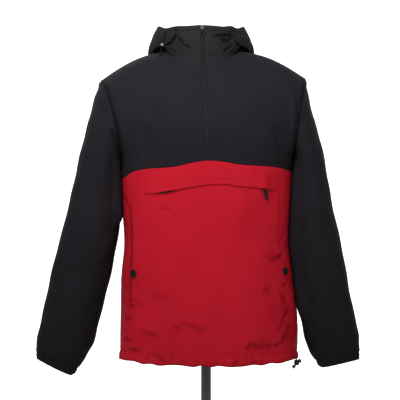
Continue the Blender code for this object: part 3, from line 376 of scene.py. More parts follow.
BACK_LINES = table(
    "across hem seam",
    "-1900 2480 6570, -1000 2440 6740, 0 2420 6790, 1000 2430 6770, 1940 2450 6740",
)
SHOULDER_TIP = {"left": (-0.2440, 0.0, 0.889), "right": (0.2300, 0.0, 0.894)}
UNDERARM = {"left": (-0.1985, 0.0, 0.700), "right": (0.2020, 0.0, 0.700)}
ARMHOLE_DEPTH = {"front": 0.086, "back": 0.080}
ARMHOLE_SCOOP = {"left": 0.013, "right": 0.004}
SHOULDER_BOW = 0.013
NECK_X, NECK_Y = -0.009, 0.004
NECK_RADIUS = {"side": 0.079, "front": 0.079, "back": 0.064}
NECKLINE_Z = {"front": 0.919, "side": 0.960, "back": 0.957}


def body_surface(face, share, height):
    """The smooth body below the arms, by share of the half width (minus is left) and height."""
    left, right = read(BODY, "left", height), read(BODY, "right", height)
    across = np.sin(share * math.pi / 2)
    depth = read(BODY, face, height) * np.maximum(1 - np.abs(across) ** BOXY, 0) ** (1 / BOXY)
    x = (left + right) / 2 + (right - left) / 2 * across
    return np.stack([x, FACE_WAY[face] * depth, height + 0 * share], -1)


def neckline(angle):
    """The collar's seam, by degrees round from the front."""
    turn = np.radians(angle)
    front = np.cos(turn) > 0
    depth = np.where(front, NECK_RADIUS["front"], NECK_RADIUS["back"])
    rise = np.abs(1 - np.cos(turn)) ** 0.85
    z_front = NECKLINE_Z["front"] + (NECKLINE_Z["side"] - NECKLINE_Z["front"]) * rise
    z_back = NECKLINE_Z["side"] + (NECKLINE_Z["back"] - NECKLINE_Z["side"]) * -np.cos(turn)
    x = NECK_X + NECK_RADIUS["side"] * np.sin(turn)
    return np.stack([x, NECK_Y - depth * np.cos(turn), np.where(front, z_front, z_back)], -1)


def top_line(face, share):
    """Where a yoke ends: along the neckline, then out along the shoulder seam."""
    angle = np.clip(share / NECK_SHARE, -1, 1) * 90
    on_neck = neckline(angle if face == "front" else 180 - angle)
    t = np.clip((np.abs(share) - NECK_SHARE) / (1 - NECK_SHARE), 0, 1)[..., None]
    tip = np.where(share[..., None] < 0, SHOULDER_TIP["left"], SHOULDER_TIP["right"])
    return on_neck + (tip - on_neck) * t + np.array([0, 0, SHOULDER_BOW]) * np.sin(math.pi * t)


def armhole_line(side, face, t):
    """The armhole's seam from under the arm up to the shoulder's tip."""
    low, tip = np.array(UNDERARM[side]), np.array(SHOULDER_TIP[side])
    turn = math.pi * (t - 0.5)
    bow = np.cos(turn)
    scoop = -SIDE_WAY[side] * ARMHOLE_SCOOP[side]
    swell = np.stack([scoop * bow, FACE_WAY[face] * ARMHOLE_DEPTH[face] * bow, 0 * bow], -1)
    return (low + tip) / 2 + (tip - low) / 2 * np.sin(turn)[..., None] + swell


def chest_surface(face, share, t):
    """A yoke from the height of the underarm (t is 0) to its top line, pulled to the armholes."""
    inward = -FACE_WAY[face]

    def plain(at):
        """The same before the pull: a curve from the underarm's height to the top line."""
        start, end = body_surface(face, at, np.full_like(at, UNDERARM_Z)), top_line(face, at)
        k = np.abs(at) / NECK_SHARE
        at_neck, at_corner = 1 - ease(k), ease(np.minimum(k, 2 - k))
        leave = np.zeros_like(start)
        leave[..., 2] = end[..., 2] - start[..., 2]
        lean, rise = inward * (0.17 - 0.13 * at_neck), 0.20 * at_neck + 0.03 * at_corner
        arrive = np.stack([-np.sign(at) * 0.11 * at_corner, lean, rise], -1)
        return curved(t[..., None], start, end, leave, arrive)

    points = plain(share)
    for side, edge in SIDE_WAY.items():
        pull = (((1 + edge * share) / 2) ** 2.7)[..., None]
        points = points + pull * (armhole_line(side, face, t) - plain(np.full_like(share, float(edge))))
    return points


def hem_gather(share, up):
    """The waves that the elastic draws into the hem, up to a hand's width above it."""
    column = share * 14
    wave = np.cos(math.pi * column) * (0.7 + 0.5 * np.sin(2.3 * column + 0.6))
    return 0.0016 * wave * near(up, 0.06) * (1 - np.abs(share) ** 6)


# Rows of points below the chest seam, from there to the armholes, and up to the shoulders.
LOWER_ROWS, BAND_ROWS, CHEST_ROWS = 132, 10, 84
HALF_COLUMNS, BACK_COLUMNS = 101, 151
SEAM_ROW, BAND_TOP = LOWER_ROWS, LOWER_ROWS + BAND_ROWS


def body_grid(face, shares):
    """Rows of points from the hem up to the shoulder and neckline."""
    lines = FRONT_LINES if face == "front" else BACK_LINES
    x = body_surface(face, shares, np.full_like(shares, 0.45))[:, 0]
    hem, seam = read(lines, "hem", x), read(lines, "seam", x)
    up = np.linspace(0, 1, LOWER_ROWS + 1)[:, None]
    share = np.broadcast_to(shares, (LOWER_ROWS + 1, len(shares)))
    lower = body_surface(face, share, hem + (seam - hem) * up)
    way = lower * (1, 1, 0)
    way /= np.linalg.norm(way, axis=-1, keepdims=True)
    lower = lower + way * hem_gather(share, up)[..., None]
    t = (np.arange(1, BAND_ROWS) / BAND_ROWS)[:, None]
    share = np.broadcast_to(shares, (BAND_ROWS - 1, len(shares)))
    band = body_surface(face, share, seam + (UNDERARM_Z - seam) * t)
    t = np.linspace(0, 1, CHEST_ROWS + 1)[:, None]
    share = np.broadcast_to(shares, (CHEST_ROWS + 1, len(shares)))
    chest = chest_surface(face, share, np.broadcast_to(t, share.shape))
    return np.concatenate([lower, band, chest])


def outward(grid, closed=False):
    """Outward unit normals of a grid of points."""
    if closed:
        across = np.roll(grid, -1, axis=1) - np.roll(grid, 1, axis=1)
    else:
        across = np.gradient(grid, axis=1)
    normal = np.cross(across, np.gradient(grid, axis=0))
    return normal / np.maximum(np.linalg.norm(normal, axis=-1, keepdims=True), 1e-12)


def crease_lines(across, up, rows):
    """For each crease: how far off its line in widths, how far it has tapered in, and its depth."""
    for x0, z0, x1, z1, width, depth, bow in rows:
        length = math.hypot(x1 - x0, z1 - z0)
        ux, uz = (x1 - x0) / length, (z1 - z0) / length
        s = ((across - x0) * ux + (up - z0) * uz) / length
        d = -(across - x0) * uz + (up - z0) * ux - bow * 4 * s * (1 - s)
        yield d / width, np.sin(math.pi * np.clip((s + 0.12) / 1.24, 0, 1)) ** 0.7, depth


def creases(across, up, rows):
    """Soft troughs and ridges along listed lines."""
    total = np.zeros_like(across)
    for off, taper, depth in crease_lines(across, up, rows):
        total += depth * taper * (np.exp(-(off**2)) - 0.25 * near(off, 2.6))
    return total


def painted_shade(across, up, rows, spread=1.05):
    """How much painted shade each point gets from the troughs it lies in, from 0 to 1."""
    total = np.zeros_like(across)
    for off, taper, depth in crease_lines(across, up, rows):
        if depth < 0:
            total = np.maximum(total, taper * near(off, spread) * min(1, -depth / 0.0045))
    return total


def rolling(across, up, waves):
    """Slow, uneven swell of cloth that hangs."""
    total = np.zeros_like(across)
    for long_x, long_z, height, shift in waves:
        total += height * np.sin(2 * math.pi * (across / long_x + up / long_z) + shift)
    return total


def seam_pucker(along, off, pitch, height, reach):
    """Small uneven puckers that run off a sewn seam and a narrow groove on its line."""
    wave = np.sin(2 * math.pi * along / pitch + 1.7 * np.sin(along / pitch * 0.9))
    wave *= 0.6 + 0.4 * np.sin(along / pitch * 1.3 + 2)
    return height * wave * np.exp(-np.abs(off) / reach) - 0.0008 * near(off, 0.0014)


def woven_shell(name, colour, deep, crumple, roughness, painted_light_low):
    """Matt textured nylon: a fine uneven weave, soft crumples and tone that shifts with them.
    Painted shade darkens it where its points are marked as lying in folds and hollows, and painted
    light makes it lighter over the shoulders and hood and darker towards the cuffs and hem."""
    thread = {"Scale": 420, "Distortion": 1.2, "Detail": 1}
    return worked_finish(
        name, colour, roughness, {"Specular IOR Level": 0.10, "IOR": 1.25},
        {
            "warp": ("TexWave", {"bands_direction": "X", **thread}),
            "weft": ("TexWave", {"bands_direction": "Y", **thread}),
            "weave": ("Math", {"operation": "MULTIPLY"}),
            "grain": ("TexNoise", {"Scale": 900, "Detail": 2}),
            "folds": ("TexNoise", {"Scale": 34, "Detail": 5, "Roughness": 0.52, "Distortion": 0.7}),
            "tone": ("TexNoise", {"Scale": 11, "Detail": 3}),
            "ramp": ("ValToRGB", {"stops": ((0.3, deep), (0.7, colour))}),
            # Painted shade: the colour is darkened towards a deep shade of itself where the points are marked as
            # lying in folds and hollows.
            "folded": ("Attribute", {"attribute_name": "painted_shade"}),
            "worn": ("Mix", {"data_type": "RGBA", "B": (*[c * 0.22 for c in deep], 1)}),
            # Painted light: the colour is multiplied down towards the hem and cuffs and up over the shoulders and
            # hood, where light from above falls most.
            "height": ("SeparateXYZ", {}),
            "fade": ("MapRange", {"From Min": 0.24, "From Max": 1.0, "To Min": painted_light_low, "To Max": 1.17}),
            "faded": ("Mix", {"data_type": "RGBA", "blend_type": "MULTIPLY", "Factor": 1.0}),
            "bump_folds": ("Bump", {"Distance": crumple, "Strength": 0.55}),
            "bump_grain": ("Bump", {"Distance": 0.00025, "Strength": 0.30}),
        },
        "place.UV > warp.Vector, place.UV > weft.Vector, warp.Fac > weave.0, weft.Fac > weave.1, "
        "place.Object > grain.Vector, place.Object > folds.Vector, place.Object > tone.Vector, "
        "tone.Fac > ramp.Fac, folded.Fac > worn.Factor, ramp.Color > worn.A, "
        "place.Object > height.Vector, height.Z > fade.Value, worn.Result > faded.A, "
        "fade.Result > faded.B, faded.Result > shader.Base Color, "
        "folds.Fac > bump_folds.Height, grain.Fac > bump_grain.Height, weave.Value > bump.Height, "
        "bump_folds.Normal > bump_grain.Normal, bump_grain.Normal > bump.Normal",
        bump=(0.00012, 0.30),
    )


def fixed_mesh(name, corners, faces, finish):
    """A smooth mesh that belongs to the garment."""
    mesh = bpy.data.meshes.new(name)
    mesh.from_pydata(corners, [], faces)
    mesh.shade_smooth()
    return fixed_piece(name, mesh, finish)


SHELL_THICK = 0.0011
DEEPEST = 0.9  # how dark the painted shade at the bottom of a fold may get


def cloth_shell(name, grid, finish, node, closed=False, thick=SHELL_THICK, without=None, dark=None):
    """A thin shell of cloth through a grid of points, with its cut size in its UVs, in metres."""
    rows, columns = grid.shape[:2]
    spans = columns if closed else columns - 1
    r, c = np.meshgrid(np.arange(rows - 1), np.arange(spans), indexing="ij")
    keep = np.ones(r.shape, bool) if without is None else ~without
    r, c = r[keep], c[keep]
    following = (c + 1) % columns
    low, high = r * columns, (r + 1) * columns
    faces = np.stack([low + c, low + following, high + following, high + c], -1)
    made = fixed_mesh(name, grid.reshape(-1, 3).tolist(), faces.tolist(), finish)
    steps_u = np.linalg.norm(np.diff(grid, axis=1), axis=-1).mean(axis=0)
    steps_v = np.linalg.norm(np.diff(grid, axis=0), axis=-1).mean(axis=1)
    if closed:
        steps_u = np.append(steps_u, np.linalg.norm(grid[:, -1] - grid[:, 0], axis=-1).mean())
    u, v = np.concatenate([[0], np.cumsum(steps_u)]), np.concatenate([[0], np.cumsum(steps_v)])
    corners = np.stack([np.stack([u[c + i], v[r + j]], -1) for i, j in ((0, 0), (1, 0), (1, 1), (0, 1))], 1)
    made.data.uv_layers.new(name="cut").data.foreach_set("uv", corners.reshape(-1))
    # Painted shade, kept on the points for the finish to darken the colour with.
    if dark is not None:
        deepest = np.clip(dark, 0, DEEPEST).reshape(-1).astype(np.float32)
        made.data.attributes.new("painted_shade", "FLOAT", "POINT").data.foreach_set("value", deepest)
    wall = made.modifiers.new("cloth thickness", "SOLIDIFY")
    wall.thickness = thick
    wall.offset = -1
    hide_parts(node)
    across = np.linalg.norm(np.cross(np.diff(grid, axis=1)[:-1], np.diff(grid, axis=0)[:, :-1]), axis=-1).sum()
    if closed:
        across *= columns / (columns - 1)
    return made, (float(u[-1]), float(v[-1])), float(across)


# What the creases take up of the cut.
TAKEN_UP_ACROSS, TAKEN_UP_ALONG, TAKEN_UP_AREA = 1.04, 1.03, 1.02


def hung_cloth(made, cut, area, rests_on=("dress_form",)):
    """The piece's cut: the rectangle it comes from and its own flat area."""
    width, length = round(cut[0] * TAKEN_UP_ACROSS, 3), round(cut[1] * TAKEN_UP_ALONG, 3)
    area = round(min(area * TAKEN_UP_AREA, width * length), 4)


red_shell = woven_shell(
    "red nylon", (0.520, 0.0110, 0.0250), (0.465, 0.0092, 0.0210), crumple=0.0016, roughness=0.68, painted_light_low=0.78
)
black_shell = woven_shell(
    "black nylon", (0.0200, 0.0178, 0.0218), (0.0172, 0.0155, 0.0190), crumple=0.0014, roughness=0.72, painted_light_low=0.50
)

# Creases, given one by one: start x, z, end x, z, width, depth (minus sinks in) and bow.
FRONT_CREASES = measures(
    "-1672 4356 -1562 4136 35 -20 10, -1760 3850 -1452 3674 45 -22 10, -1826 4026 -1738 3850 45 22 0, "
    "-1804 3674 -1606 3718 35 -22 0, -1826 3454 -1760 3190 45 20 0, -1848 2904 -1672 2970 35 -18 0, "
    "1298 4818 1650 4664 55 -24 10, 1562 5104 1694 4774 45 19 10, 1716 4202 1826 4136 35 -26 0, "
    "1650 4026 1804 3586 45 -25 20, 1716 3454 1892 3080 45 -25 20, 1848 3080 2002 2860 45 -20 10, "
    "-1232 3960 -836 3828 45 -20 10, -704 3278 -550 3168 35 -16 0, -484 3300 -22 3168 45 -21 10, "
    "-1276 3102 -1012 3036 35 -16 0, -1760 2684 -1386 2772 35 -17 0, 880 2750 1012 2926 35 -17 0, "
    "1144 2816 1408 2948 45 -21 10, 1562 2794 1672 2926 35 -18 0, -1451 6800 -1445 5650 40 14 10, "
    "1585 6800 1590 5600 40 14 -10, -1878 3438 -1700 3394 35 -40 0, -1722 3638 -1566 3749 35 -35 0, "
    "-1766 3904 -1610 3815 30 -35 0, -1476 3128 -1053 3007 40 -34 10, -1766 2752 -1521 2686 30 -40 0, "
    "-1164 2642 -896 2487 35 -36 0, -718 3239 -562 3173 30 -32 0, -495 3305 -93 3150 35 -32 10, "
    "888 2730 1022 2885 32 -42 0, 1000 2885 1178 2752 35 -40 0, 1178 2752 1334 2863 30 -36 0, "
    "1312 2774 1468 2874 32 -40 0, 1513 2819 1624 2863 30 -44 0, 1714 2841 1780 3150 40 -45 0, "
    "1803 2929 1914 3261 45 -50 0, 977 2487 1178 2443 28 -34 0, 1736 3904 1892 3715 40 -48 10, "
    "1736 4182 1847 4148 34 -50 0, 1624 4726 1736 4905 34 -42 0, 1267 4015 1446 4082 40 -34 0, "
    "1446 4682 1714 4815 45 -34 10, 1669 5105 1758 5306 30 -36 0, 1758 3438 1892 3638 40 -46 0, "
    "1624 3128 1736 3350 40 -30 0, 576 2421 710 2531 26 -30 0, 130 2421 264 2509 26 -26 0, "
    "-562 2443 -450 2553 26 -28 0, -852 2487 -740 2576 26 -28 0, -1343 2531 -1253 2642 26 -26 0, "
    "-1008 5853 -807 5864 24 -28 0, -1856 2996 -1744 2929 30 -38 0, -1900 4148 -1766 4082 30 -30 0, "
    "-1789 5931 -1867 6177 32 -36 0, -1878 5663 -1766 5440 30 -26 0"
)
BACK_CREASES = measures(
    "-1300 5600 -400 5350 100 -20 30, 300 5450 1250 5700 100 -20 30, -1500 4450 -600 4200 80 -20 20, "
    "450 4350 1500 4550 80 -20 -20, -500 3800 450 3720 70 -18 20, -1600 3500 -900 3300 50 -18 10, "
    "800 3350 1500 3600 50 -18 10, -1100 2950 -500 2880 45 -16 10, 300 2960 1000 2870 45 -16 -10, "
    "-1500 2760 -1250 2900 40 -16 0, 1300 2760 1450 2930 40 -16 0"
)
YOKE_CREASES = measures(
    "-1848 8921 -1540 8921 35 12 0, 1485 7612 1540 6974 55 16 10, 1817 7986 1817 7788 45 16 0, "
    "-1518 7250 -1474 6864 45 16 0, -1750 7950 -1150 7250 110 -9 50, 1850 7850 1300 7200 110 -9 -50, "
    "-1500 8350 -900 7900 120 -6 40, 1550 8300 950 7850 120 -6 -40, -1509 8889 -1372 9016 35 -18 0, "
    "-1926 9136 -1582 9125 30 22 0, -1880 9066 -1513 9043 30 18 0, -2203 7667 -1976 7690 26 -30 0, "
    "-2180 7553 -1953 7553 26 -30 0, -2135 7438 -1953 7427 26 -34 0, 1904 8240 1916 7896 28 18 0, "
    "2040 8607 1995 7232 45 -32 20, 1485 7398 1574 7173 28 22 0, -8 8121 5 7760 22 12 0, "
    "-2468 8311 -2445 7711 25 14 0"
)
# Waves of the swell: length across and up, height and shift.
SWELL = (
    (0.19, 0.60, 0.0016, 0.4), (0.11, -0.35, 0.0009, 1.9), (-0.075, 0.21, 0.0005, 3.1), (0.05, 0.13, 0.00025, 5.0)
)
# Around the sewn-on hardware the cloth is held flat: x, z and reach.
HELD_FLAT = ((0.130, 0.628, 0.030), (-0.1640, 0.4420, 0.022), (0.1790, 0.4480, 0.022))
# Above the hem's edge: the middle of its casing, and the line that closes it.
CASING_MIDDLE, CASING_LINE = 0.009, 0.0200
# Heights on the armhole's seam: its start under the arm, and where its puff and its groove run out.
SEAM_START, PUFF_END, GROOVE_END = 0.704, 0.872, 0.885


def body_relief(face, grid, shares):
    """How far each point of the body's front or back stands out, and how much painted shade it gets."""
    x, z = grid[..., 0], grid[..., 2]
    hem, seam = z[0], z[SEAM_ROW]
    along = run_along(grid[SEAM_ROW])
    is_front = face == "front"
    side = 1 - np.abs(shares) ** 10
    relief = rolling(x, z, SWELL) * (1 - np.abs(shares) ** 5) * (1 - 0.6 * ease((z - 0.80) / 0.1))
    laid = np.concatenate([FRONT_CREASES, YOKE_CREASES]) if is_front else BACK_CREASES
    relief += creases(x, z, laid) * side
    if not is_front:
        relief += creases(-x, z, YOKE_CREASES) * side
    # Painted shade in the troughs of the creases, stronger on the yoke than on the red below.
    dark = np.where(z < seam, 0.50 * painted_shade(x, z, laid, 1.7), 0.85 * painted_shade(x, z, laid))
    # Painted shade down the left flank of the red front, which is turned away from the light.
    dark = np.maximum(dark, 0.46 * ease((-shares - 0.74) / 0.22) * (z < seam) * is_front)
    # Below the pockets the sides are crumpled, where hands and elastic have drawn them together.
    by_side = ease((np.abs(shares) - 0.72) / 0.16) * ease((0.470 - z) / 0.06)
    crumple = np.sin(z / 0.0031 + x / 0.006 + 2.1 * np.sin(x / 0.011)) * np.sin(z / 0.0085 - x / 0.008 + 1.0)
    crumple += 0.8 * np.sin(z / 0.0052 - x / 0.0055 + 1.4 * np.sin(z / 0.017)) * np.sin(x / 0.009 + z / 0.013)
    relief += 0.0010 * crumple * by_side * side
    # Painted shade in the troughs of the crumples.
    dark = np.maximum(dark, 0.22 * np.clip(-crumple - 0.35, 0, 1) * by_side)
    relief += seam_pucker(along, z - seam, 0.013, 0.0004, 0.008)
    # The hem's casing: a channel of elastic with a sewn line above it, gathered all round.
    up = z - hem
    relief += 0.0012 * near(up - CASING_MIDDLE, 0.008) - 0.0016 * near(up - CASING_LINE, 0.0022)
    gather = np.sin(2 * math.pi * along / 0.024 + 1.5 * np.sin(along / 0.019))
    gather *= 0.7 + 0.4 * np.sin(along / 0.047 + 1)
    short = np.sin(2 * math.pi * along / 0.0105 + 2.2 * np.sin(along / 0.031))
    short *= np.clip(np.sin(along / 0.026 + 0.7), 0, 1)
    by_line = near(up - 0.018, 0.012)
    relief += (0.0013 * gather + 0.0012 * short * by_line) * near(up, 0.036)
    # Painted shade in the troughs of the short gathers, and a painted dark line along the hem's lower edge, which
    # faces down away from the light.
    dark = np.maximum(dark, 0.18 * np.clip(-short, 0, 1) * by_line)
    dark = np.maximum(dark, 0.60 * near(up, 0.0034))
    # The armhole's seam lies in a valley between the yoke's edge and the sleeve's head.
    chest = (np.arange(len(grid)) >= BAND_TOP)[:, None]
    left, right = (x[:, :1], x[:, -1:]) if is_front else (x[:, -1:], x[:, :1])
    off = np.abs(x - np.where(shares < 0, left, right))
    relief += 0.0018 * near(off - 0.010, 0.006) * chest * (1 - ease((z - PUFF_END) / 0.02))
    # Painted shade in the seam's valley, and in the hollow under each arm at the front.
    underarm_painted_shade = near(off, np.where(x > 0, 0.015, 0.011)) * near(z - SEAM_START, 0.018) * (z > seam) * is_front
    armhole_painted_shade = 0.75 * near(off, np.where(x > 0, 0.0055, 0.0048)) * chest * ease((GROOVE_END - z) / 0.02)
    dark = np.maximum(dark, np.maximum(armhole_painted_shade, underarm_painted_shade))
    for spot_x, spot_z, reach in HELD_FLAT:
        held = near(np.hypot(x - spot_x, z - spot_z), reach) * is_front
        relief *= 1 - 0.95 * held
        dark *= 1 - 0.8 * held
    return relief, dark


NECK_FILL, NECK_REACH = 0.0036, 0.010


def neck_fill(turn, away):
    """The collar's seam is pressed open, so yoke and collar meet in a soft curve: a push outward."""
    size = NECK_FILL * (1 - ease((np.abs(turn) - 50) / 35)) * np.exp(-away / NECK_REACH)
    a = np.radians(turn)
    return np.stack([size * np.sin(a), -size * np.cos(a), 0 * size], -1)


def smoothed(grid, first, last, times, keep):
    """Rows from first to last eased into one curve, less where keep is near 1."""
    for _ in range(times):
        middle = (grid[first - 1:last - 1] + 2 * grid[first:last] + grid[first + 1:last + 1]) / 4
        grid[first:last] += (middle - grid[first:last]) * (1 - keep)[None, :, None]
    return grid


SEAM_PASSES, CORNER_PASSES = 70, 160
half = np.linspace(SLIT, 1, HALF_COLUMNS)
SHARES = {"front": np.concatenate([-half[::-1], half]), "back": np.linspace(1, -1, BACK_COLUMNS)}
body, body_way, body_dark = {}, {}, {}
for face, shares in SHARES.items():
    grid = smoothed(body_grid(face, shares), LOWER_ROWS + 1, BAND_TOP + 26, SEAM_PASSES, np.abs(shares) ** 6)
    # Below the corners of the neck the shoulder runs out softly into the chest.
    by_corner = near(np.abs(shares) - NECK_SHARE, 0.14) * (np.abs(shares) > 0.06)
    t = np.clip((np.arange(len(grid)) - BAND_TOP) / (len(grid) - 1 - BAND_TOP), 0, 1)
    soft = (by_corner[None] * (1 - ease((t - 0.80) / 0.20))[:, None])[:, 1:-1, None]
    for _ in range(CORNER_PASSES):
        middle = (grid[:, :-2] + 2 * grid[:, 1:-1] + grid[:, 2:]) / 4
        grid[:, 1:-1] += (middle - grid[:, 1:-1]) * soft
    way = outward(grid)
    relief, dark = body_relief(face, grid, shares)
    relief[SEAM_ROW:] *= 1 - np.abs(shares) ** 14
    relief[-12:] *= (np.arange(11, -1, -1) / 11)[:, None]  # nothing stands out at the seams above
    # The hem hangs a little lower between its gathers.
    drop = near(np.linspace(0, 1, LOWER_ROWS + 1)[:, None], 0.045)
    x = grid[0, :, 0]
    waves = 0.0012 + 0.0015 * np.sin(x / 0.0085 + 1.3 * np.sin(x / 0.021))
    waves -= 0.0042 * ease((x - 0.085) / 0.11) + 0.0022 * ease((-0.12 - x) / 0.05)
    grid[: SEAM_ROW + 1, :, 2] -= drop * waves
    body[face], body_way[face], body_dark[face] = grid + way * relief[..., None], way, dark
front, back = body["front"], body["back"]
steps = np.linalg.norm(np.diff(front, axis=0), axis=-1)
below_neck = np.concatenate([np.cumsum(steps[::-1], axis=0)[::-1], np.zeros((1, front.shape[1]))])
neck_turn = np.clip(SHARES["front"] / NECK_SHARE, -1, 1) * 90
front += neck_fill(np.broadcast_to(neck_turn, below_neck.shape), below_neck)

slit = np.zeros((BAND_ROWS + CHEST_ROWS, front.shape[1] - 1), bool)
SLIT_ROW = BAND_ROWS + round(CHEST_ROWS * 0.1)  # where the zip's slit starts, above the chest seam
slit[SLIT_ROW:, len(half) - 1] = True
for part, rows, finish, slot in (
    ("lower", slice(0, SEAM_ROW + 1), red_shell, "red_cloth"),
    ("yoke", slice(SEAM_ROW, None), black_shell, "black_cloth"),
):
    for face in ("front", "back"):
        hung_cloth(*cloth_shell(
            f"{face}_{part}_panel", body[face][rows], finish, f"{face}_{part}",
            without=slit if (face, part) == ("front", "yoke") else None, dark=body_dark[face][rows],
        ))


# ---- Sleeves and cuffs -------------------------------------------------------------------------
# Each sleeve is one tube of the black shell, set into the armhole. Its end is turned up into a
# casing with elastic, which gathers it.

# The sleeve's outer and inner edge and its half depth, row by row down the arm.
SLEEVE_COLUMNS = "row outer_x outer_z inner_x inner_z depth"
SLEEVE_UNITS = (1, *[TENTHS] * 5)
SLEEVE_LEFT = table(
    SLEEVE_COLUMNS,
    "0 -2440 8890 -1985 7000 830, 1 -2600 8420 -2010 6840 820, 2 -2745 7900 -2000 6620 780, "
    "3 -2865 7360 -1980 6340 740, 4 -3010 6680 -1958 5980 700, 5 -3170 6050 -1980 5480 670, "
    "6 -3335 5290 -2110 4800 640, 7 -3520 4550 -2260 4100 600, 8 -3680 3880 -2405 3450 560, "
    "9 -3795 3270 -2555 2900 520, 10 -3870 2850 -2735 2560 460, 11 -3885 2630 -2915 2260 400, "
    "12 -3864 2486 -3070 2110 360",
    units=SLEEVE_UNITS,
)
SLEEVE_RIGHT = table(
    SLEEVE_COLUMNS,
    "0 2300 8940 2020 7000 830, 1 2390 8420 2045 6840 820, 2 2540 7900 2040 6620 780, 3 2665 7400 2015 6340 740, "
    "4 2795 6680 1985 5980 700, 5 2920 6030 1965 5500 670, 6 3065 5290 1985 4850 640, 7 3200 4550 2060 4180 610, "
    "8 3330 3880 2130 3550 570, 9 3450 3270 2245 3030 520, 10 3495 2880 2350 2700 460, "
    "11 3505 2630 2500 2430 400, 12 3496 2475 2630 2290 360",
    units=SLEEVE_UNITS,
)
SLEEVES = {"left": SLEEVE_LEFT, "right": SLEEVE_RIGHT}
SLEEVE_PITCH = -0.012  # the arm hangs this far forward
ROW_LENGTH, ROUND_LENGTH = 0.055, 0.45  # metres from row to row, and all round
# Folds along and round the sleeve: row and share at the start, at the end, width in shares, depth,
# in tenths of a row, hundredths and thousandths of a share, and tenths of a millimetre.
FOLD_UNITS = (10, 100, 10, 100, 1000, TENTHS)
SLEEVE_FOLDS = {
    "left": measures(
        "10 30 36 24 30 -22, 14 16 40 12 35 -20, 32 36 56 44 30 16, 46 10 64 20 30 -20, 54 4 69 12 28 -22, "
        "60 30 84 36 30 14, 72 8 86 17 26 -18, 84 22 102 28 28 18, 10 70 36 76 30 -22, 32 62 56 56 30 16, "
        "46 90 64 80 30 -22, 56 96 72 86 28 -20, 72 90 88 82 26 -18, 82 74 100 70 30 18",
        FOLD_UNITS,
    ),
    "right": measures(
        "12 28 34 22 30 -20, 16 14 42 10 35 -20, 28 38 54 45 30 15, 48 12 66 20 30 -20, 58 5 72 13 28 -24, "
        "64 28 86 33 30 15, 76 6 90 15 26 -22, 86 24 104 30 28 18, 12 72 34 78 30 -20, 28 62 54 55 30 15, "
        "48 88 66 80 30 -20, 58 95 72 87 28 -22, 76 92 90 85 26 -20, 86 76 104 70 28 18",
        FOLD_UNITS,
    ),
}
# Short creases, by how far round from under the arm and down from the shoulder.
SLEEVE_CREASES = {
    "left": measures(
        "1125 500 814 100 28 -44 10, 976 440 673 100 28 -45 10, 851 440 600 140 26 -40 0, "
        "400 3300 750 3520 35 -13 20, 600 4400 920 4200 40 -13 20, 1200 5400 1500 5200 40 16 0, "
        "500 5600 900 5750 35 -14 0, 3900 3300 3600 3520 35 -24 20, 3000 4400 3500 4200 40 -22 20, "
        "2400 3500 2900 3350 45 -20 20"
    ),
    "right": measures(
        "280 820 580 780 28 -28 0, 340 960 600 920 28 -26 0, 420 3200 780 3420 35 -11 20, "
        "580 4300 900 4120 40 -11 20, 1180 5450 1500 5300 40 16 0, 520 5650 920 5780 35 -14 0, "
        "3920 3250 3620 3480 35 -24 20, 3020 4350 3520 4150 40 -22 20, 2420 3450 2920 3300 45 -20 20"
    ),
}
SLEEVE_AROUND, SLEEVE_DOWN, CUFF_DOWN = 108, 190, 14  # points round, and rows down
CUFF_ROW, CASING_ROW, LAST_ROW = 11, 11.55, 12  # where the cuff starts, its middle and its end
CASING_THICK = 0.0016
CUFF_GATHERS, GATHER_SHIFT = 17, {"left": 0.7, "right": 2.1}


def sleeve_surface(side, row, share):
    """The smooth sleeve, by row down from the armhole and share round from under the arm."""
    rows, zero = SLEEVES[side], 0 * row
    outer, inner = (
        np.stack([read(rows, f"{edge}_x", row), zero, read(rows, f"{edge}_z", row)], -1)
        for edge in ("outer", "inner")
    )
    turn = 2 * math.pi * share - math.pi / 2
    hole = np.maximum(0, 1 - row / 2.5)  # 1 at the armhole, 0 below the upper arm
    at_hole = np.where(np.cos(turn) > 0, ARMHOLE_DEPTH["front"], ARMHOLE_DEPTH["back"])
    depth = read(rows, "depth", row) + (at_hole - rows["depth"][0]) * hole
    scoop = -SIDE_WAY[side] * ARMHOLE_SCOOP[side] * hole
    middle = (outer + inner) / 2 + (outer - inner) / 2 * np.sin(turn)[..., None]
    pitch = SLEEVE_PITCH * ease(row / LAST_ROW * 1.2)
    return middle + np.stack([scoop * np.abs(np.cos(turn)), pitch - depth * np.cos(turn), zero], -1)


# Where the arm hangs against the side, its flank lies this close to the body, at this depth, from
# these heights (each with how far it fades) up to the underarm.
LAID_CLOSE, LAID_Y, LAID_TO = 0.0016, -0.034, 0.712
LAID_FROM = {"left": (0.540, 0.034), "right": (0.322, 0.046)}


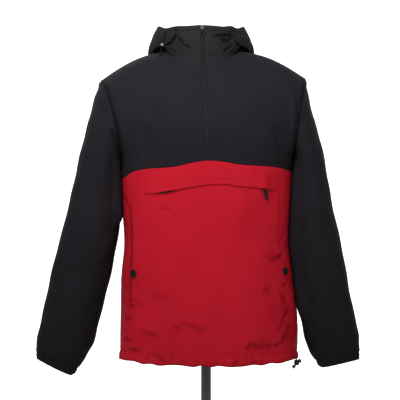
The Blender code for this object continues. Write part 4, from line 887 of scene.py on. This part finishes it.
def sleeve_relief(side, row, share):
    """Folds along the sleeve, the gathers that the elastic draws in, and the armhole's puckers, with painted shade
    in their hollows.
    """
    relief = np.zeros_like(row)
    for row_0, share_0, row_1, share_1, width, depth in SLEEVE_FOLDS[side]:
        s = (row - row_0) / (row_1 - row_0)
        d = share - (share_0 + (share_1 - share_0) * s)
        taper = np.sin(math.pi * np.clip((s + 0.15) / 1.3, 0, 1))
        relief += depth * taper * (near(d, width) - 0.4 * near(d / width, 2.4))
    relief += 0.0011 * np.sin(2 * math.pi * (row * 0.33 + share * 2) + 0.7)
    relief += 0.0006 * np.sin(2 * math.pi * (row * 0.8 - share * 3))
    shift = GATHER_SHIFT[side]
    gather = np.sin(2 * math.pi * CUFF_GATHERS * share + 1.3 * np.sin(9 * share + shift))
    gather *= 0.75 + 0.35 * np.sin(25 * share + shift)
    relief += 0.0014 * gather * near(row - CUFF_ROW, 0.9) * ease(row / 3)
    relief += 0.0010 * near(row - CASING_ROW, 0.30) - 0.0016 * near(row - CUFF_ROW, 0.12)
    relief *= ease(row / 0.8)
    # Its head swells beside the armhole's seam.
    head = np.sin(math.pi * share) ** 2
    around, down = share * ROUND_LENGTH, row * ROW_LENGTH
    relief += seam_pucker(share * 0.5, row * 0.06, 0.016, 0.0004, 0.010) * (1 - ease(row / 2)) * head
    relief += 0.0024 * near(down - 0.010, 0.006) * head
    relief += creases(around, down, SLEEVE_CREASES[side])
    # Painted shade: in the creases' troughs, as a dark line along the head's seam, and between the cuff's gathers.
    dark = painted_shade(around, down, SLEEVE_CREASES[side])
    dark = np.maximum(dark, 0.70 * near(down, 0.0034) * head)
    dark = np.maximum(dark, 0.25 * np.clip(-gather, 0, 1) * near(row - CUFF_ROW, 0.5))
    return relief, dark


sleeves = {}
for side, way in SIDE_WAY.items():
    down, casing = np.linspace(0, CUFF_ROW, SLEEVE_DOWN + 1), np.linspace(CUFF_ROW, LAST_ROW, CUFF_DOWN + 1)
    row = np.concatenate([down, casing[1:]])[:, None]
    share = (np.arange(SLEEVE_AROUND) / SLEEVE_AROUND)[None]
    if side == "right":
        share = (-share) % 1.0
    row, share = np.broadcast_arrays(row, share)
    grid = sleeve_surface(side, row, share)
    grid[0, :, 0] += way * 0.0008 * np.maximum(0, np.cos(2 * math.pi * share[0])) ** 2
    relief, dark = sleeve_relief(side, row, share)
    x, y, z = (grid[..., i] for i in range(3))
    edge = read(BODY, side, z)
    bulge = np.maximum(1 - (np.abs(y) / read(BODY, "front", z)) ** BOXY, 0.02) ** (1 / BOXY)
    middle = (read(BODY, "left", z) + read(BODY, "right", z)) / 2
    beside = middle + (edge - middle) * bulge + way * LAID_CLOSE
    low, fade = LAID_FROM[side]
    press = near(y - LAID_Y, 0.020) * ease((z - low) / fade) * ease((LAID_TO - z) / 0.02)
    press *= ease((0.034 - way * (x - beside)) / 0.014) * (way * (x - beside) > 0)
    grid[..., 0] = x + press * (beside - x)
    grid = grid + outward(grid, True) * (relief * (1 - 0.8 * press))[..., None]
    sleeves[side] = grid
    tube, cuff = f"sleeve_{side}_tube", f"cuff_{side}_casing"
    for name, node, rows, thick, rests_on in (
        (tube, f"sleeve_{side}", slice(0, SLEEVE_DOWN + 1), SHELL_THICK, ("dress_form", "front_yoke_panel")),
        (cuff, f"cuff_{side}", slice(SLEEVE_DOWN, None), CASING_THICK, (tube,)),
    ):
        made = cloth_shell(name, grid[rows], black_shell, node, True, thick, dark=dark[rows])
        hung_cloth(*made, rests_on=rests_on)


# ---- Collar and hood ---------------------------------------------------------------------------
# The collar's two halves stand on the neckline beside the zip and run into the hood, which is cut
# in two sides and a middle and lies open down the back. Its rim is turned in round the drawcord.
COLLAR_END, HOOD_SPLIT = 75, 150  # degrees round from the front
# Shares of the reach on each side, and how much slimmer it is beside the shoulder.
HOOD_LEAN = {"left": 0.79, "right": 0.66}
HOOD_SLIM = {"left": 0.09, "right": 0.04}
HOOD = table(
    "angle reach_1 height_1 reach_2 height_2 reach_3 height_3 reach_4 height_4 reach_5 height_5",
    "0 0 9290 10 9450 20 9670 20 9880 10 10060, 40 0 9330 10 9490 20 9690 30 9870 20 10040, "
    "70 20 9480 70 9580 120 9720 140 9880 110 10030, 95 50 9690 260 9770 500 9620 535 9820 300 10140, "
    "125 60 9680 300 9680 740 9190 880 9500 520 10090, 155 60 9670 360 9480 840 8380 1190 8880 700 9970, "
    "180 50 9660 380 9350 880 7950 1280 8650 770 9920",
    units=(1, *[TENTHS] * 10),
)
# Where the rim peaks: degrees round, half width, height, and the corner beside the neck.
HOOD_PEAKS = {"left": (57, 22, 0.0050, 90), "right": (56, 14, 0.0068, 84)}
HOOD_KNOTS = (0.0, 0.12, 0.35, 0.60, 0.80, 1.0)
HOOD_UP = 80  # rows
DEGREE, RISE = 0.0014, 0.085  # metres round the neck by degree, and from the neckline to the rim
# Creases by degrees round and hundredths of the rise: start, end, then width, depth and bow.
HOOD_CREASES = measures(
    "-72 52 -57 60 30 -55 -10, -58 60 -46 78 28 -50 0, -47 74 -46 93 22 -30 0, -43 74 -31 50 26 -40 10, "
    "-31 50 -19 43 26 -34 10, 22 74 57 76 30 -48 10, 32 70 44 60 45 -40 0, 46 60 57 74 35 -36 0, "
    "64 62 86 42 34 -55 10, 57 50 38 32 32 -34 -10, 68 47 54 28 32 -34 10, 30 86 52 87 30 14 0, "
    "-66 40 -50 30 40 -20 10, 8 30 26 20 50 -14 10, -96 86 -112 50 60 -40 30, -120 82 -140 45 70 -42 30, "
    "96 88 112 50 60 -40 -30, 122 82 138 45 70 -42 -30, -170 80 -152 40 70 -40 30, 172 82 156 42 70 -40 -30, "
    "-84 94 -80 55 35 -30 10, 100 60 128 62 60 -30 20",
    (1, 100, 1, 100, TENTHS, TENTHS, TENTHS),
)
# Folds that stand out: degrees round, hundredths of the rise, their half widths, and height.
HOOD_FOLDS = measures(
    "-64 80 13 16 45, -36 78 8 14 14, 40 90 18 7 26, 74 78 14 18 24, 62 34 7 10 16, 150 62 12 16 30, "
    "-148 60 12 16 30, 180 60 9 15 30",
    (1, 100, 1, 100, TENTHS),
)


def hood_surface(angles, t):
    """Columns by degrees round from the front, rows by share up from the neckline."""
    columns = []
    for angle in angles:
        turn = (angle + 180) % 360 - 180
        side = abs(turn)
        base = neckline(np.array(turn))
        hand = "right" if turn > 0 else "left"
        lean = HOOD_LEAN[hand]
        lean = lean + (1 - lean) * float(ease((side - 95) / 60))
        knots = {"key": "t", "t": np.array(HOOD_KNOTS), "reach": [0.0], "height": [base[2]]}
        at, width, high, corner = HOOD_PEAKS[hand]
        peak = 0.0045 * near(side - corner, 17) + high * near(side - at, width)
        slim = 1 - HOOD_SLIM[hand] * near(side - 95, 30)
        for i in (1, 2, 3, 4, 5):
            rise = peak if i == 5 else 0.4 * peak if i == 4 else 0.0
            reach = lean * read(HOOD, f"reach_{i}", side) * (slim if i < 5 else 1)
            knots["reach"].append(reach)
            knots["height"].append(read(HOOD, f"height_{i}", side) + rise)
        knots["reach"], knots["height"] = np.array(knots["reach"]), np.array(knots["height"])
        way = np.array([math.sin(math.radians(turn)), -math.cos(math.radians(turn)), 0])
        column = base * (1, 1, 0) + way * read(knots, "reach", t)[:, None]
        column[:, 2] = read(knots, "height", t)
        columns.append(column + neck_fill(np.full(t.shape, turn), t * RISE))
    return np.stack(columns, axis=1)


def hood_relief(angles, t):
    """Listed creases, a soft swell and the rim's turned edge with its sewn line."""
    turn = (angles[None] + 180) % 360 - 180
    up = t[:, None]
    metric = HOOD_CREASES * (DEGREE, RISE, DEGREE, RISE, 1, 1, 1)
    round_, high = np.broadcast_arrays(turn * DEGREE, up * RISE)
    relief = creases(round_, high, metric)
    for angle, share, half_angle, half_share, height in HOOD_FOLDS:
        off = (turn - angle + 180) % 360 - 180
        relief += height * near(off, half_angle) * near(up - share, half_share)
    relief += 0.0008 * np.sin(turn / 11 + up * 5) * up + 0.0004 * np.sin(turn / 5 - up * 9) * up
    relief += -0.0009 * near(up - 0.86, 0.02) + 0.0007 * near(up - 0.93, 0.05)
    # Beside the zip the collar lies flat.
    beside_zip = 1 - near(turn, 6)
    # Painted shade in the troughs of the creases, weaker from about sixty degrees round from the front.
    dark = painted_shade(round_, high, metric) * (1 - 0.8 * ease((np.abs(turn) - 60) / 12))
    return relief * ease(up / 0.14) * beside_zip, dark


slit_angle = SLIT / NECK_SHARE * 90
# The collar and hood take a copy of the black nylon painted a little lighter: painted light.
hood_cloth_painted_lighter = woven_shell(
    "black nylon painted lighter for the hood", (0.0222, 0.0210, 0.0234), (0.0192, 0.0182, 0.0206),
    crumple=0.0014, roughness=0.72, painted_light_low=0.50,
)
hood_t = np.linspace(0, 1, HOOD_UP + 1)
hood_grids = {}
for name, start, stop, count in (
    ("collar_right", slit_angle, COLLAR_END, 76), ("hood_side_right", COLLAR_END, HOOD_SPLIT, 84),
    ("hood_middle", HOOD_SPLIT, 360 - HOOD_SPLIT, 72), ("hood_side_left", 360 - HOOD_SPLIT, 360 - COLLAR_END, 84),
    ("collar_left", 360 - COLLAR_END, 360 - slit_angle, 76),
):
    angles = np.linspace(start, stop, count + 1)
    grid = hood_surface(angles, hood_t)
    relief, dark = hood_relief(angles, hood_t)
    grid = grid + outward(grid) * relief[..., None]
    hood_grids[name] = grid
    hung_cloth(*cloth_shell(f"{name}_cloth", grid, hood_cloth_painted_lighter, name, thick=0.0014, dark=dark),
               rests_on=("dress_form", "back_yoke_panel"))


# ---- Front zip ---------------------------------------------------------------------------------
# A reversed coil zip: its two smooth woven tapes meet over the coil, which only shows in the line
# between them. A nickel slider with a ring and a long rubber tab closes it at the collar's rim.
def metal(name, colour, roughness, scratch):
    """Plated metal: fine scratches that follow the piece and a slight change of gloss."""
    return worked_finish(
        name, colour, roughness, {"Metallic": 1.0},
        {"brush": ("TexNoise", {"Scale": scratch, "Detail": 4})},
        "place.Object > brush.Vector, brush.Fac > bump.Height, brush.Fac > gloss.Value",
        bump=(0.0001, 0.2), gloss=(roughness * 0.7, roughness * 1.5),
    )


def moulded(name, colour, roughness, grain):
    """Moulded plastic or rubber: an even fine grain and rubbed, glossier high spots."""
    return worked_finish(
        name, colour, roughness, {"Specular IOR Level": 0.18},
        {"fine": ("TexVoronoi", {"Scale": grain}), "patch": ("TexNoise", {"Scale": grain / 9})},
        "place.Object > fine.Vector, fine.Distance > bump.Height, "
        "place.Object > patch.Vector, patch.Fac > gloss.Value",
        bump=(0.0002, 0.25), gloss=(roughness * 0.75, roughness * 1.2),
    )


# A small rounded block: the outline of its foot in half lengths and half widths, then its layers by
# share of its height and of its foot.
BLOCK_RING = ((-1.0, 0.0), (-0.75, 0.75), (0.75, 0.75), (1.0, 0.0), (0.75, -0.75), (-0.75, -0.75))
BLOCK_LAYERS = ((0.0, 1.0), (0.55, 0.92), (1.0, 0.55))


def joined_blocks(name, centres, along, out, size, finish):
    """Many small rounded blocks in one mesh: each has its own direction along and out."""
    centres, along, out = (np.asarray(v, float) for v in (centres, along, out))
    out = out / np.linalg.norm(out, axis=-1, keepdims=True)
    across = np.cross(along, out)
    across /= np.linalg.norm(across, axis=-1, keepdims=True)
    along = np.cross(out, across)
    length, width, height = size
    corners = np.stack([
        centres + along * (a * length / 2 * shrink) + across * (b * width / 2 * shrink) + out * (height * layer)
        for layer, shrink in BLOCK_LAYERS for a, b in BLOCK_RING
    ], axis=1)
    ring, top = len(BLOCK_RING), len(BLOCK_RING) * (len(BLOCK_LAYERS) - 1)
    sides = [
        (low + ring + i, low + ring + (i + 1) % ring, low + (i + 1) % ring, low + i)
        for low in range(0, top, ring) for i in range(ring)
    ]
    first = (np.arange(len(centres)) * corners.shape[1])[:, None]
    quads = np.array(sides)[None] + first[..., None]
    caps = np.arange(top + ring - 1, top - 1, -1)[None] + first
    faces = quads.reshape(-1, 4).tolist() + caps.tolist()
    return fixed_mesh(name, corners.reshape(-1, 3).tolist(), faces, finish)


def read_along(at, run, points):
    """Points read at `at` on a line whose points lie at `run`."""
    return np.stack([np.interp(at, run, points[:, i]) for i in range(3)], -1)


def spaced(points, pitch):
    """Points at an even pitch along a line, with the line's direction at each."""
    run = run_along(points)
    at = np.arange(pitch / 2, run[-1], pitch)
    ahead = read_along(np.minimum(at + pitch / 3, run[-1]), run, points)
    way = ahead - read_along(np.maximum(at - pitch / 3, 0), run, points)
    return read_along(at, run, points), way / np.linalg.norm(way, axis=-1, keepdims=True)


def woven_tape(name, colour, pitch):
    """Narrow woven tape: ribs across it and a fine salt-and-pepper tone."""
    return worked_finish(
        name, colour, 0.6, {"Specular IOR Level": 0.1},
        {
            "ribs": ("TexWave", {"bands_direction": "Y", "Scale": 1 / pitch / 2}),
            "specks": ("TexNoise", {"Scale": 1400}),
        },
        "place.UV > ribs.Vector, ribs.Fac > bump.Height, "
        "place.Object > specks.Vector, specks.Fac > gloss.Value",
        bump=(0.00015, 0.4), gloss=(0.5, 0.75),
    )


black_tape = woven_tape("black zip tape", (0.0165, 0.0150, 0.0178), 0.0008)
coil_nylon = moulded("black nylon coil", (0.018, 0.018, 0.020), 0.28, 2500)
mid = len(half)
left_edge = np.concatenate([front[SEAM_ROW + SLIT_ROW:, mid - 1], hood_grids["collar_left"][1:, -1]])
right_edge = np.concatenate([front[SEAM_ROW + SLIT_ROW:, mid], hood_grids["collar_right"][1:, 0]])
line, span_way = (left_edge + right_edge) / 2, (right_edge - left_edge) / 2
face_way = np.cross(span_way, np.gradient(line, axis=0))
face_way /= np.linalg.norm(face_way, axis=-1, keepdims=True)
u = np.linspace(-1.12, 1.12, 17)  # the tapes reach a little under both edges of the slit
sunk = 0.0003 - 0.0002 * (1 - (2 * np.abs(u) - 1) ** 2) + 0.0008 * near(u, 0.09)
tape = line[:, None] + span_way[:, None] * u[None, :, None] - face_way[:, None] * sunk[None, :, None]
cloth_shell("front_zip_tapes", tape, black_tape, "front_zip", thick=0.0009)
COIL_PITCH, COIL_SUNK = 0.0015, 0.0013
places, ways = spaced(line[:-2], COIL_PITCH)
outs = read_along(places[:, 2], line[:, 2], face_way)
coil_turn = (0.0022, 0.0009, 0.0009)
places = places - outs * COIL_SUNK
joined_blocks("front_zip_coil", places, np.cross(ways, outs), outs, coil_turn, coil_nylon)
nickel = metal("nickel plating", (0.14, 0.135, 0.135), 0.30, 900)
gunmetal = metal("black nickel plating", (0.030, 0.030, 0.032), 0.42, 900)
carried_over("front_zip_slider", nickel)
carried_over("front_zip_pull", gunmetal)
carried_over("front_zip_tab", moulded("black rubber tab", (0.010, 0.010, 0.011), 0.42, 1500))
carried_over("hood_cord_stop", metal("dull nickel bead", (0.40, 0.40, 0.40), 0.34, 900))
carried_over("eyelet_left", gunmetal)
carried_over("eyelet_right", gunmetal)


# ---- Cord lock ---------------------------------------------------------------------------------
# The hem's elastic is held by a moulded barrel. Its spring button stands out at the side, with a
# ribbed thumb rest on its end.
ROUND = 24  # corners round a turned piece


def turned(name, place, way, profile, finish):
    """A turned piece, by how far along its axis and its radius there."""
    way = Vector(way).normalized()
    side = way.cross(Vector((0, 1, 0))).normalized()
    other = way.cross(side)
    corners = []
    for far, radius in profile:
        for i in range(ROUND):
            a = 2 * math.pi * i / ROUND
            corners.append(tuple(Vector(place) + way * far + (side * math.cos(a) + other * math.sin(a)) * radius))
    faces = [
        (low + i, low + (i + 1) % ROUND, low + ROUND + (i + 1) % ROUND, low + ROUND + i)
        for low in range(0, (len(profile) - 1) * ROUND, ROUND) for i in range(ROUND)
    ]
    faces += [tuple(range(ROUND))[::-1], tuple(range((len(profile) - 1) * ROUND, len(profile) * ROUND))]
    return fixed_mesh(name, corners, faces, finish)


LOCK_BUTTON = measures(
    "35 40, 66 40, 68 47, 72 50, 78 50, 81 46, 84 46, 88 50, 94 49, 101 40, 104 24"
)
lock_plastic = moulded("black moulded cord lock", (0.010, 0.010, 0.011), 0.40, 1500)
carried_over("hem_cord_lock", lock_plastic)
button_place, button_way = lock + Vector((0, 0, 0.0012)), (0.93, -0.10, 0.36)
turned("hem_lock_button", button_place, button_way, LOCK_BUTTON, lock_plastic)


# ---- Chest pocket ------------------------------------------------------------------------------
# A red flap hangs from the chest seam over a coil zip. Its lower edge is turned under and sewn,
# and it gapes at the left, where the pocket is used. A black pull shows below it at the right.
FLAP_LEFT, FLAP_RIGHT = -0.148, 0.166
GAPES_AT, PULL_AT = -0.086, 0.1300
FLAP_EDGE = table(
    "across height",
    "-1450 6200, -1050 6210, -620 6275, -250 6340, 100 6385, 420 6395, 700 6355, 1100 6330, 1600 6290",
)


def on_front(across, heights, lift):
    """Points over the front's surface: x for each column, heights for each row, lifted off it."""
    panel, way = front[: SEAM_ROW + 1], body_way["front"][: SEAM_ROW + 1]
    row = int(np.argmin(np.abs(panel[:, mid, 2] - heights.mean())))
    columns = np.interp(across, panel[row, :, 0], np.arange(panel.shape[1]))
    found = np.zeros(heights.shape + (3,))
    for j, column in enumerate(columns):
        i = min(int(column), panel.shape[1] - 2)
        k = column - i
        line_points = panel[:, i] * (1 - k) + panel[:, i + 1] * k
        line_ways = way[:, i] * (1 - k) + way[:, i + 1] * k
        out = read_along(heights[:, j], line_points[:, 2], line_ways)
        found[:, j] = read_along(heights[:, j], line_points[:, 2], line_points) + lift[:, j, None] * out
    return found


across = np.linspace(FLAP_LEFT, FLAP_RIGHT, 151)
gape = near(across - GAPES_AT, 0.024)
low_edge = read(FLAP_EDGE, "height", across) + 0.0012 * gape
low_edge += 0.0004 * np.sin(across / 0.006) * np.sin(across / 0.023)
high_edge = np.interp(across, front[SEAM_ROW, :, 0], front[SEAM_ROW, :, 2]) - 0.0003
t = np.linspace(0, 1, 31)[:, None] ** 1.3
heights = low_edge + (high_edge - low_edge) * t
sewn_side = ease(np.minimum(across - FLAP_LEFT, FLAP_RIGHT - across) / 0.020)
over_pull = near(across - PULL_AT, 0.0110)
lift = -0.0004 + sewn_side * (0.0018 + 0.0009 * (1 - t) ** 0.7 + 0.0042 * gape * (1 - t) ** 1.6)
lift += (0.0064 - lift) * over_pull * ease((1 - t) / 0.55)
lift *= 1 - 0.75 * ease((t - 0.90) / 0.10)
from_edge = heights - low_edge
lift += sewn_side * (0.0005 * near(from_edge - 0.003, 0.003) - 0.0002 * near(from_edge - 0.0085, 0.0016))
flap_grid = on_front(across, heights, lift)
flap = cloth_shell("chest_flap_cloth", flap_grid, red_shell, "chest_flap", thick=0.0015)
hung_cloth(*flap, rests_on=("front_lower_panel",))

across = np.linspace(FLAP_LEFT + 0.030, FLAP_RIGHT - 0.022, 101)
start = read(FLAP_EDGE, "height", across) + 0.0035 - 0.0062 * near(across - GAPES_AT, 0.020)
heights = start + np.linspace(0, 0.009, 9)[:, None]
pocket_tape = on_front(across, heights, np.full(heights.shape, 0.0011))
cloth_shell("chest_zip_tape", pocket_tape, black_tape, "chest_zip", thick=0.0008)
places, ways = spaced(pocket_tape[4], COIL_PITCH)
outs = np.broadcast_to(np.array([0.0, -1.0, 0.0]), places.shape)
joined_blocks("chest_zip_coil", places, np.cross(ways, outs), outs, (0.0034, 0.0009, 0.0010), coil_nylon)
black_lacquer = moulded("black lacquered metal", (0.010, 0.009, 0.010), 0.42, 900)
carried_over("chest_zip_slider", black_lacquer)
carried_over("chest_zip_pull", black_lacquer)


# ---- Side pockets ------------------------------------------------------------------------------
# Each side pocket opens beside a narrow red welt of the shell cloth that is sewn down at both ends.
# It closes with one black snap, riveted through the welt, whose cap has a raised rim.
WELTS = {"left": (-0.1620, 0.368, 0.598), "right": (0.1780, 0.372, 0.598)}  # middle, foot and head
WELT_HALF = 0.0085
for side, (x, low, high) in WELTS.items():
    across = x + np.linspace(-WELT_HALF, WELT_HALF, 15)
    heights = np.linspace(low, high, 97)[:, None] + 0 * across
    outer = SIDE_WAY[side] * (across - x) / WELT_HALF
    rise = ease((1 - np.abs(outer)) / 0.55) * ease((heights - low) / 0.016) * ease((high - heights) / 0.020)
    ripple = 0.0007 * np.sin(heights / 0.0042 + 2 * np.sin(heights / 0.019) + outer) * ease((0.430 - heights) / 0.02)
    lift = 0.0002 + rise * (0.0007 + 0.0005 * (outer > 0) * outer + ripple)
    # Painted shade along the outer half of the left welt, where the pocket opens.
    shade = 0.42 * ease((outer + 0.15) / 0.6) * (side == "left") + 0 * heights
    welt = cloth_shell(f"pocket_welt_{side}_cloth", on_front(across, heights, lift), red_shell,
                       f"pocket_welt_{side}", thick=0.0009, dark=shade)
    hung_cloth(*welt, rests_on=("front_lower_panel",))
snap_cap = moulded("black snap cap", (0.008, 0.007, 0.008), 0.45, 900)
SNAP_RIM = measures("-14 86, -6 94, 0 94, 6 88, 8 70")
for side in WELTS:
    carried_over(f"snap_{side}", snap_cap)
    cap = middle_of(f"snap_{side}")
    row = int(np.argmin(np.abs(front[: SEAM_ROW, mid, 2] - cap.z)))
    column = int(np.argmin(np.abs(front[row, :, 0] - cap.x)))
    turned(f"snap_rim_{side}", cap, body_way["front"][row, column], SNAP_RIM, snap_cap)


# ---- Stitching ---------------------------------------------------------------------------------
# Lockstitch in thread of the cloth's own colour: along the hem's casing, the chest seam, armholes,
# cuffs, collar, zip and flap, about eight stitches to the inch.
STITCH = (0.0024, 0.0006, 0.0004)  # length, width and height
STITCH_PITCH, STITCH_SUNK = 0.0032, 0.0001


def thread(name, colour):
    """Spun polyester thread: a soft twist that shows as diagonal ribs."""
    return worked_finish(
        name, colour, 0.65, {"Specular IOR Level": 0.08},
        {"twist": ("TexWave", {"bands_direction": "DIAGONAL", "Scale": 2200})},
        "place.Object > twist.Vector, twist.Fac > bump.Height",
        bump=(0.0001, 0.5),
    )


def sewn(name, lines, finish):
    """Rows of stitches, each given by points on the cloth and the cloth's outward way there."""
    rows = []
    for points, normals in lines:
        run = run_along(points)
        at = np.arange(STITCH_PITCH / 2, run[-1], STITCH_PITCH)
        rows.append((*spaced(points, STITCH_PITCH), read_along(at, run, normals)))
    centres, ways, outs = (np.concatenate(v) for v in zip(*rows))
    return joined_blocks(name, centres - outs * STITCH_SUNK, ways, outs, STITCH, finish)


front_out, back_out = outward(front), outward(back)
flap_out = outward(flap_grid)
HEM_LINE, FLAP_LINE, HOOD_LINES, ARMHOLE_LINES = 6, 12, (4, 68), (3, -4)  # rows and columns that are sewn
red_rows = [(front[HEM_LINE], front_out[HEM_LINE]), (back[HEM_LINE], back_out[HEM_LINE])]
red_rows.append((flap_grid[FLAP_LINE], flap_out[FLAP_LINE]))
sewn("red_stitching", red_rows, thread("red thread", (0.42, 0.010, 0.022)))
black_rows = [(front[SEAM_ROW + 1], front_out[SEAM_ROW + 1]), (back[SEAM_ROW + 1], back_out[SEAM_ROW + 1])]
for grid, out in ((front, front_out), (back, back_out)):
    for column in ARMHOLE_LINES:
        black_rows.append((grid[BAND_TOP + 3:-2, column], out[BAND_TOP + 3:-2, column]))
by_slit = slice(SEAM_ROW + SLIT_ROW - 2, None)
for column in (mid - 2, mid + 1):
    black_rows.append((front[by_slit, column], front_out[by_slit, column]))
for side in SIDE_WAY:
    out = outward(sleeves[side], True)
    for row in (SLEEVE_DOWN - 1, SLEEVE_DOWN + CUFF_DOWN - 1):
        black_rows.append((sleeves[side][row], out[row]))
for name, grid in hood_grids.items():
    out = outward(grid)
    for row in HOOD_LINES:
        black_rows.append((grid[row], out[row]))
sewn("black_stitching", black_rows, thread("black thread", (0.014, 0.014, 0.016)))
